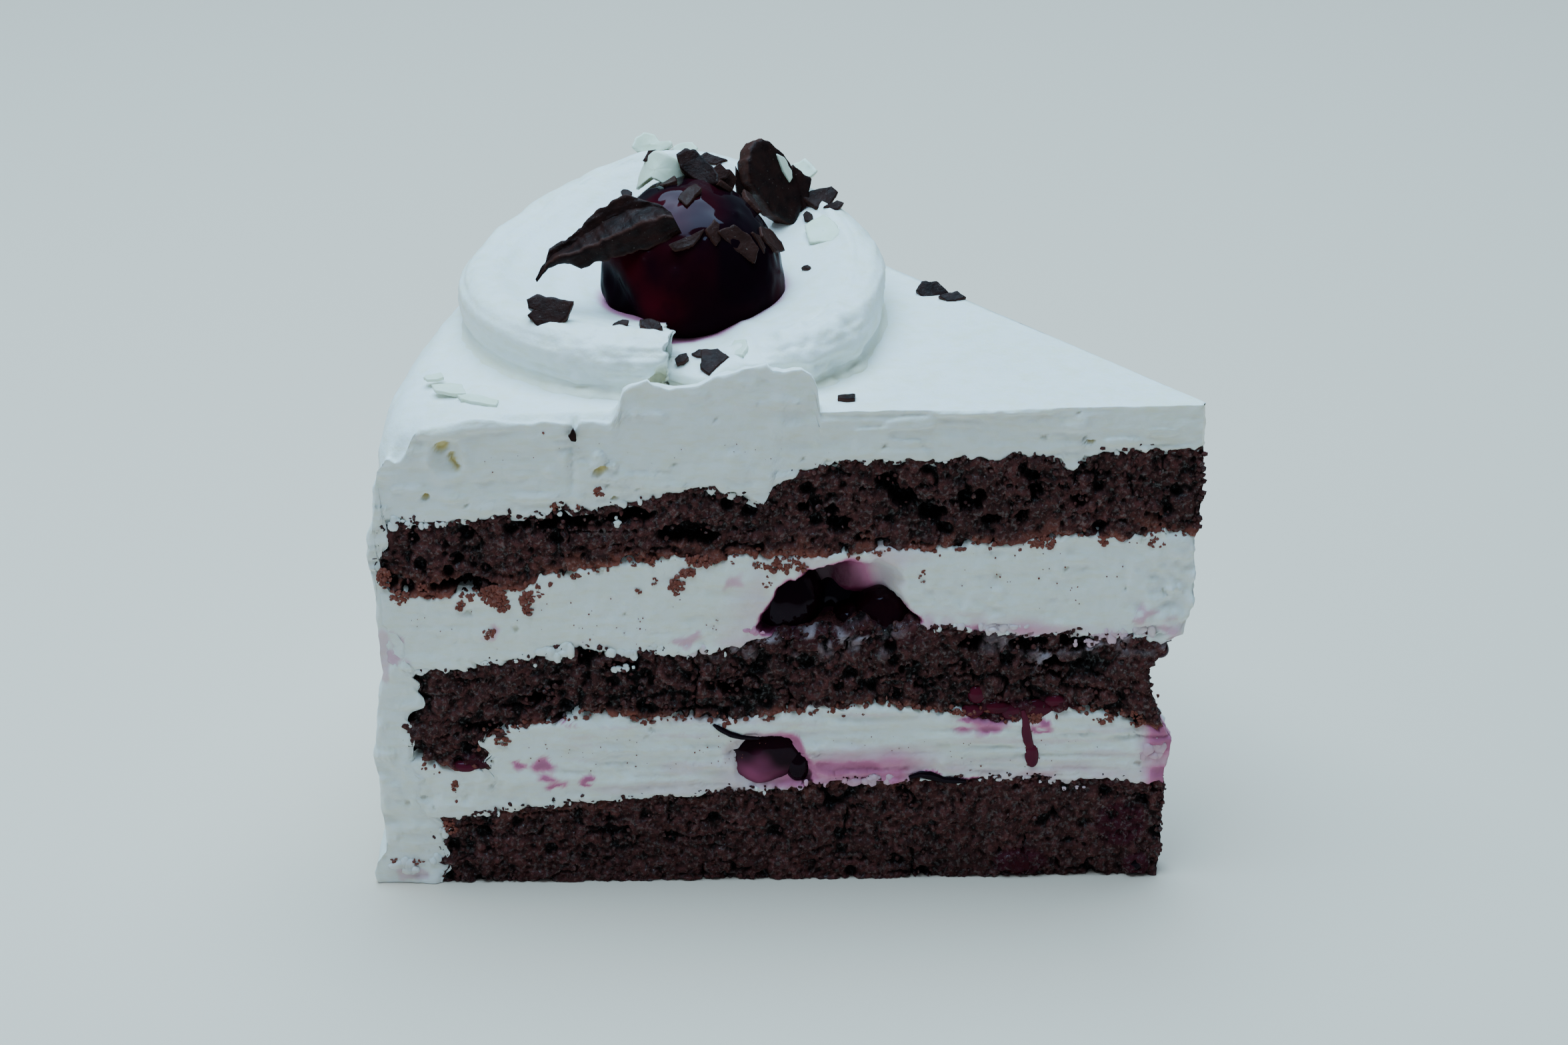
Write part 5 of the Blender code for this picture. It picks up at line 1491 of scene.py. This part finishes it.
def white_material():
    m = Nodes("white_chocolate_look", 0.4)
    m.soft(0.002, (1.0, 0.8, 0.5))
    base = m.mix(m.ramp(m.noise(3.0, 2.0), 0.3, 0.7), (0.70, 0.74, 0.55), (0.78, 0.81, 0.67))
    m.colour(base)
    m.bump(m.noise(0.8, 3.0), 0.06, 0.5)
    return m.material


def plain_material(name, colour, roughness):
    m = Nodes(name, roughness)
    m.shader.inputs["Base Color"].default_value = (*colour, 1.0)
    return m.material


# Floor, light and camera


def area_light(name, at, aim, size, power, colour, glossy):
    data = bpy.data.lights.new(name, "AREA")
    data.shape = "RECTANGLE"
    data.size, data.size_y = size
    data.energy = power
    data.color = colour
    lamp = bpy.data.objects.new(name, data)
    lamp.location = at
    lamp.rotation_euler = (Vector(aim) - Vector(at)).to_track_quat("-Z", "Y").to_euler()
    lamp.visible_glossy = glossy
    bpy.context.scene.collection.objects.link(lamp)


FLOOR_HALF = 3.0
# Name, place, aim, size, watts, colour, and whether it shows in what mirrors it
LIGHTS = (
    ("above", (-0.10, 0.10, 0.95), (0, 0, 0.05), (1.1, 0.8), 26.0, (0.46, 0.76, 1.0), True),
    ("steep", (-0.15, -0.42, 0.85), (0, 0, 0.04), (0.35, 0.25), 0.5, (0.82, 0.92, 0.97), False),
    ("left", (-0.9, -0.3, 0.5), (0, 0, 0.05), (0.6, 0.6), 0.45, (0.82, 0.92, 1.0), False),
)
# The camera's place and aim in the cake's own millimetres, and its focal length in picture widths
CAMERA_AT = (49.906, -457.228, 273.653)
CAMERA_AIM = (60.1, 0.0, 59.7)
FOCAL_LENGTH = 5236 / 2352


def studio():
    mesh = bpy.data.meshes.new("floor")
    corners = [(x * FLOOR_HALF, y * FLOOR_HALF, 0) for x, y in ((-1, -1), (1, -1), (1, 1), (-1, 1))]
    mesh.from_pydata(corners, [], [(0, 1, 2, 3)])
    mesh.materials.append(plain_material("floor_look", (0.78, 0.62, 0.50), 0.7))
    floor = bpy.data.objects.new("floor", mesh)
    floor.location.z = -0.0001
    bpy.context.scene.collection.objects.link(floor)

    world = bpy.data.worlds.new("sky")
    world.use_nodes = True
    sky = world.node_tree.nodes["Background"]
    sky.inputs["Color"].default_value = (0.52, 0.76, 1.0, 1.0)
    sky.inputs["Strength"].default_value = 0.20
    bpy.context.scene.world = world
    for light in LIGHTS:
        area_light(*light)


def camera():
    data = bpy.data.cameras.new("camera")
    data.sensor_width = 36.0
    data.lens = FOCAL_LENGTH * data.sensor_width
    data.clip_start = 0.01
    made = bpy.data.objects.new("camera", data)
    at, aim = (Vector(((np.array(place) - MIDDLE) * MM).tolist()) for place in (CAMERA_AT, CAMERA_AIM))
    made.location = at
    made.rotation_euler = (aim - at).to_track_quat("-Z", "Y").to_euler()
    bpy.context.scene.collection.objects.link(made)
    bpy.context.scene.camera = made


# Name, floor, top, relief and the node it replaces
SPONGES = (
    ("bottom_sponge", None, BOTTOM_SPONGE_TOP, bottom_sponge_relief, "sponge_bottom"),
    ("middle_sponge", MIDDLE_SPONGE_FLOOR, MIDDLE_SPONGE_TOP, middle_sponge_relief, "sponge_middle"),
    ("top_sponge", TOP_SPONGE_FLOOR, TOP_SPONGE_TOP, top_sponge_relief, "sponge_top"),
)
FILLINGS = (
    ("lower_filling", BOTTOM_SPONGE_TOP, MIDDLE_SPONGE_FLOOR, lower_filling_relief, "filling_lower"),
    ("upper_filling", MIDDLE_SPONGE_TOP, TOP_SPONGE_FLOOR, upper_filling_relief, "filling_upper"),
)
FILLING_REACH = 1.6  # how much further out a filling goes than a sponge


def build():
    sponge = sponge_material()
    cream = cream_material()
    cherry = cherry_material()
    dark = dark_material()
    white = white_material()

    spacing = 0.28
    for name, floor, ceiling, relief, node in SPONGES:
        layer(name, floor, ceiling, spacing, relief, sponge, "sponge", (node,))
    for name, floor, ceiling, relief, node in FILLINGS:
        layer(name, floor, ceiling, spacing * 1.2, relief, cream, "cream", (node,), FILLING_REACH)
    coat(cream)
    piped_ring(cream)
    top_cherry(cherry)
    buried_cherries(cherry)
    shavings(dark, white)
    crumbs(sponge)
    cream_dabs(cream)
    studio()
    camera()


build()
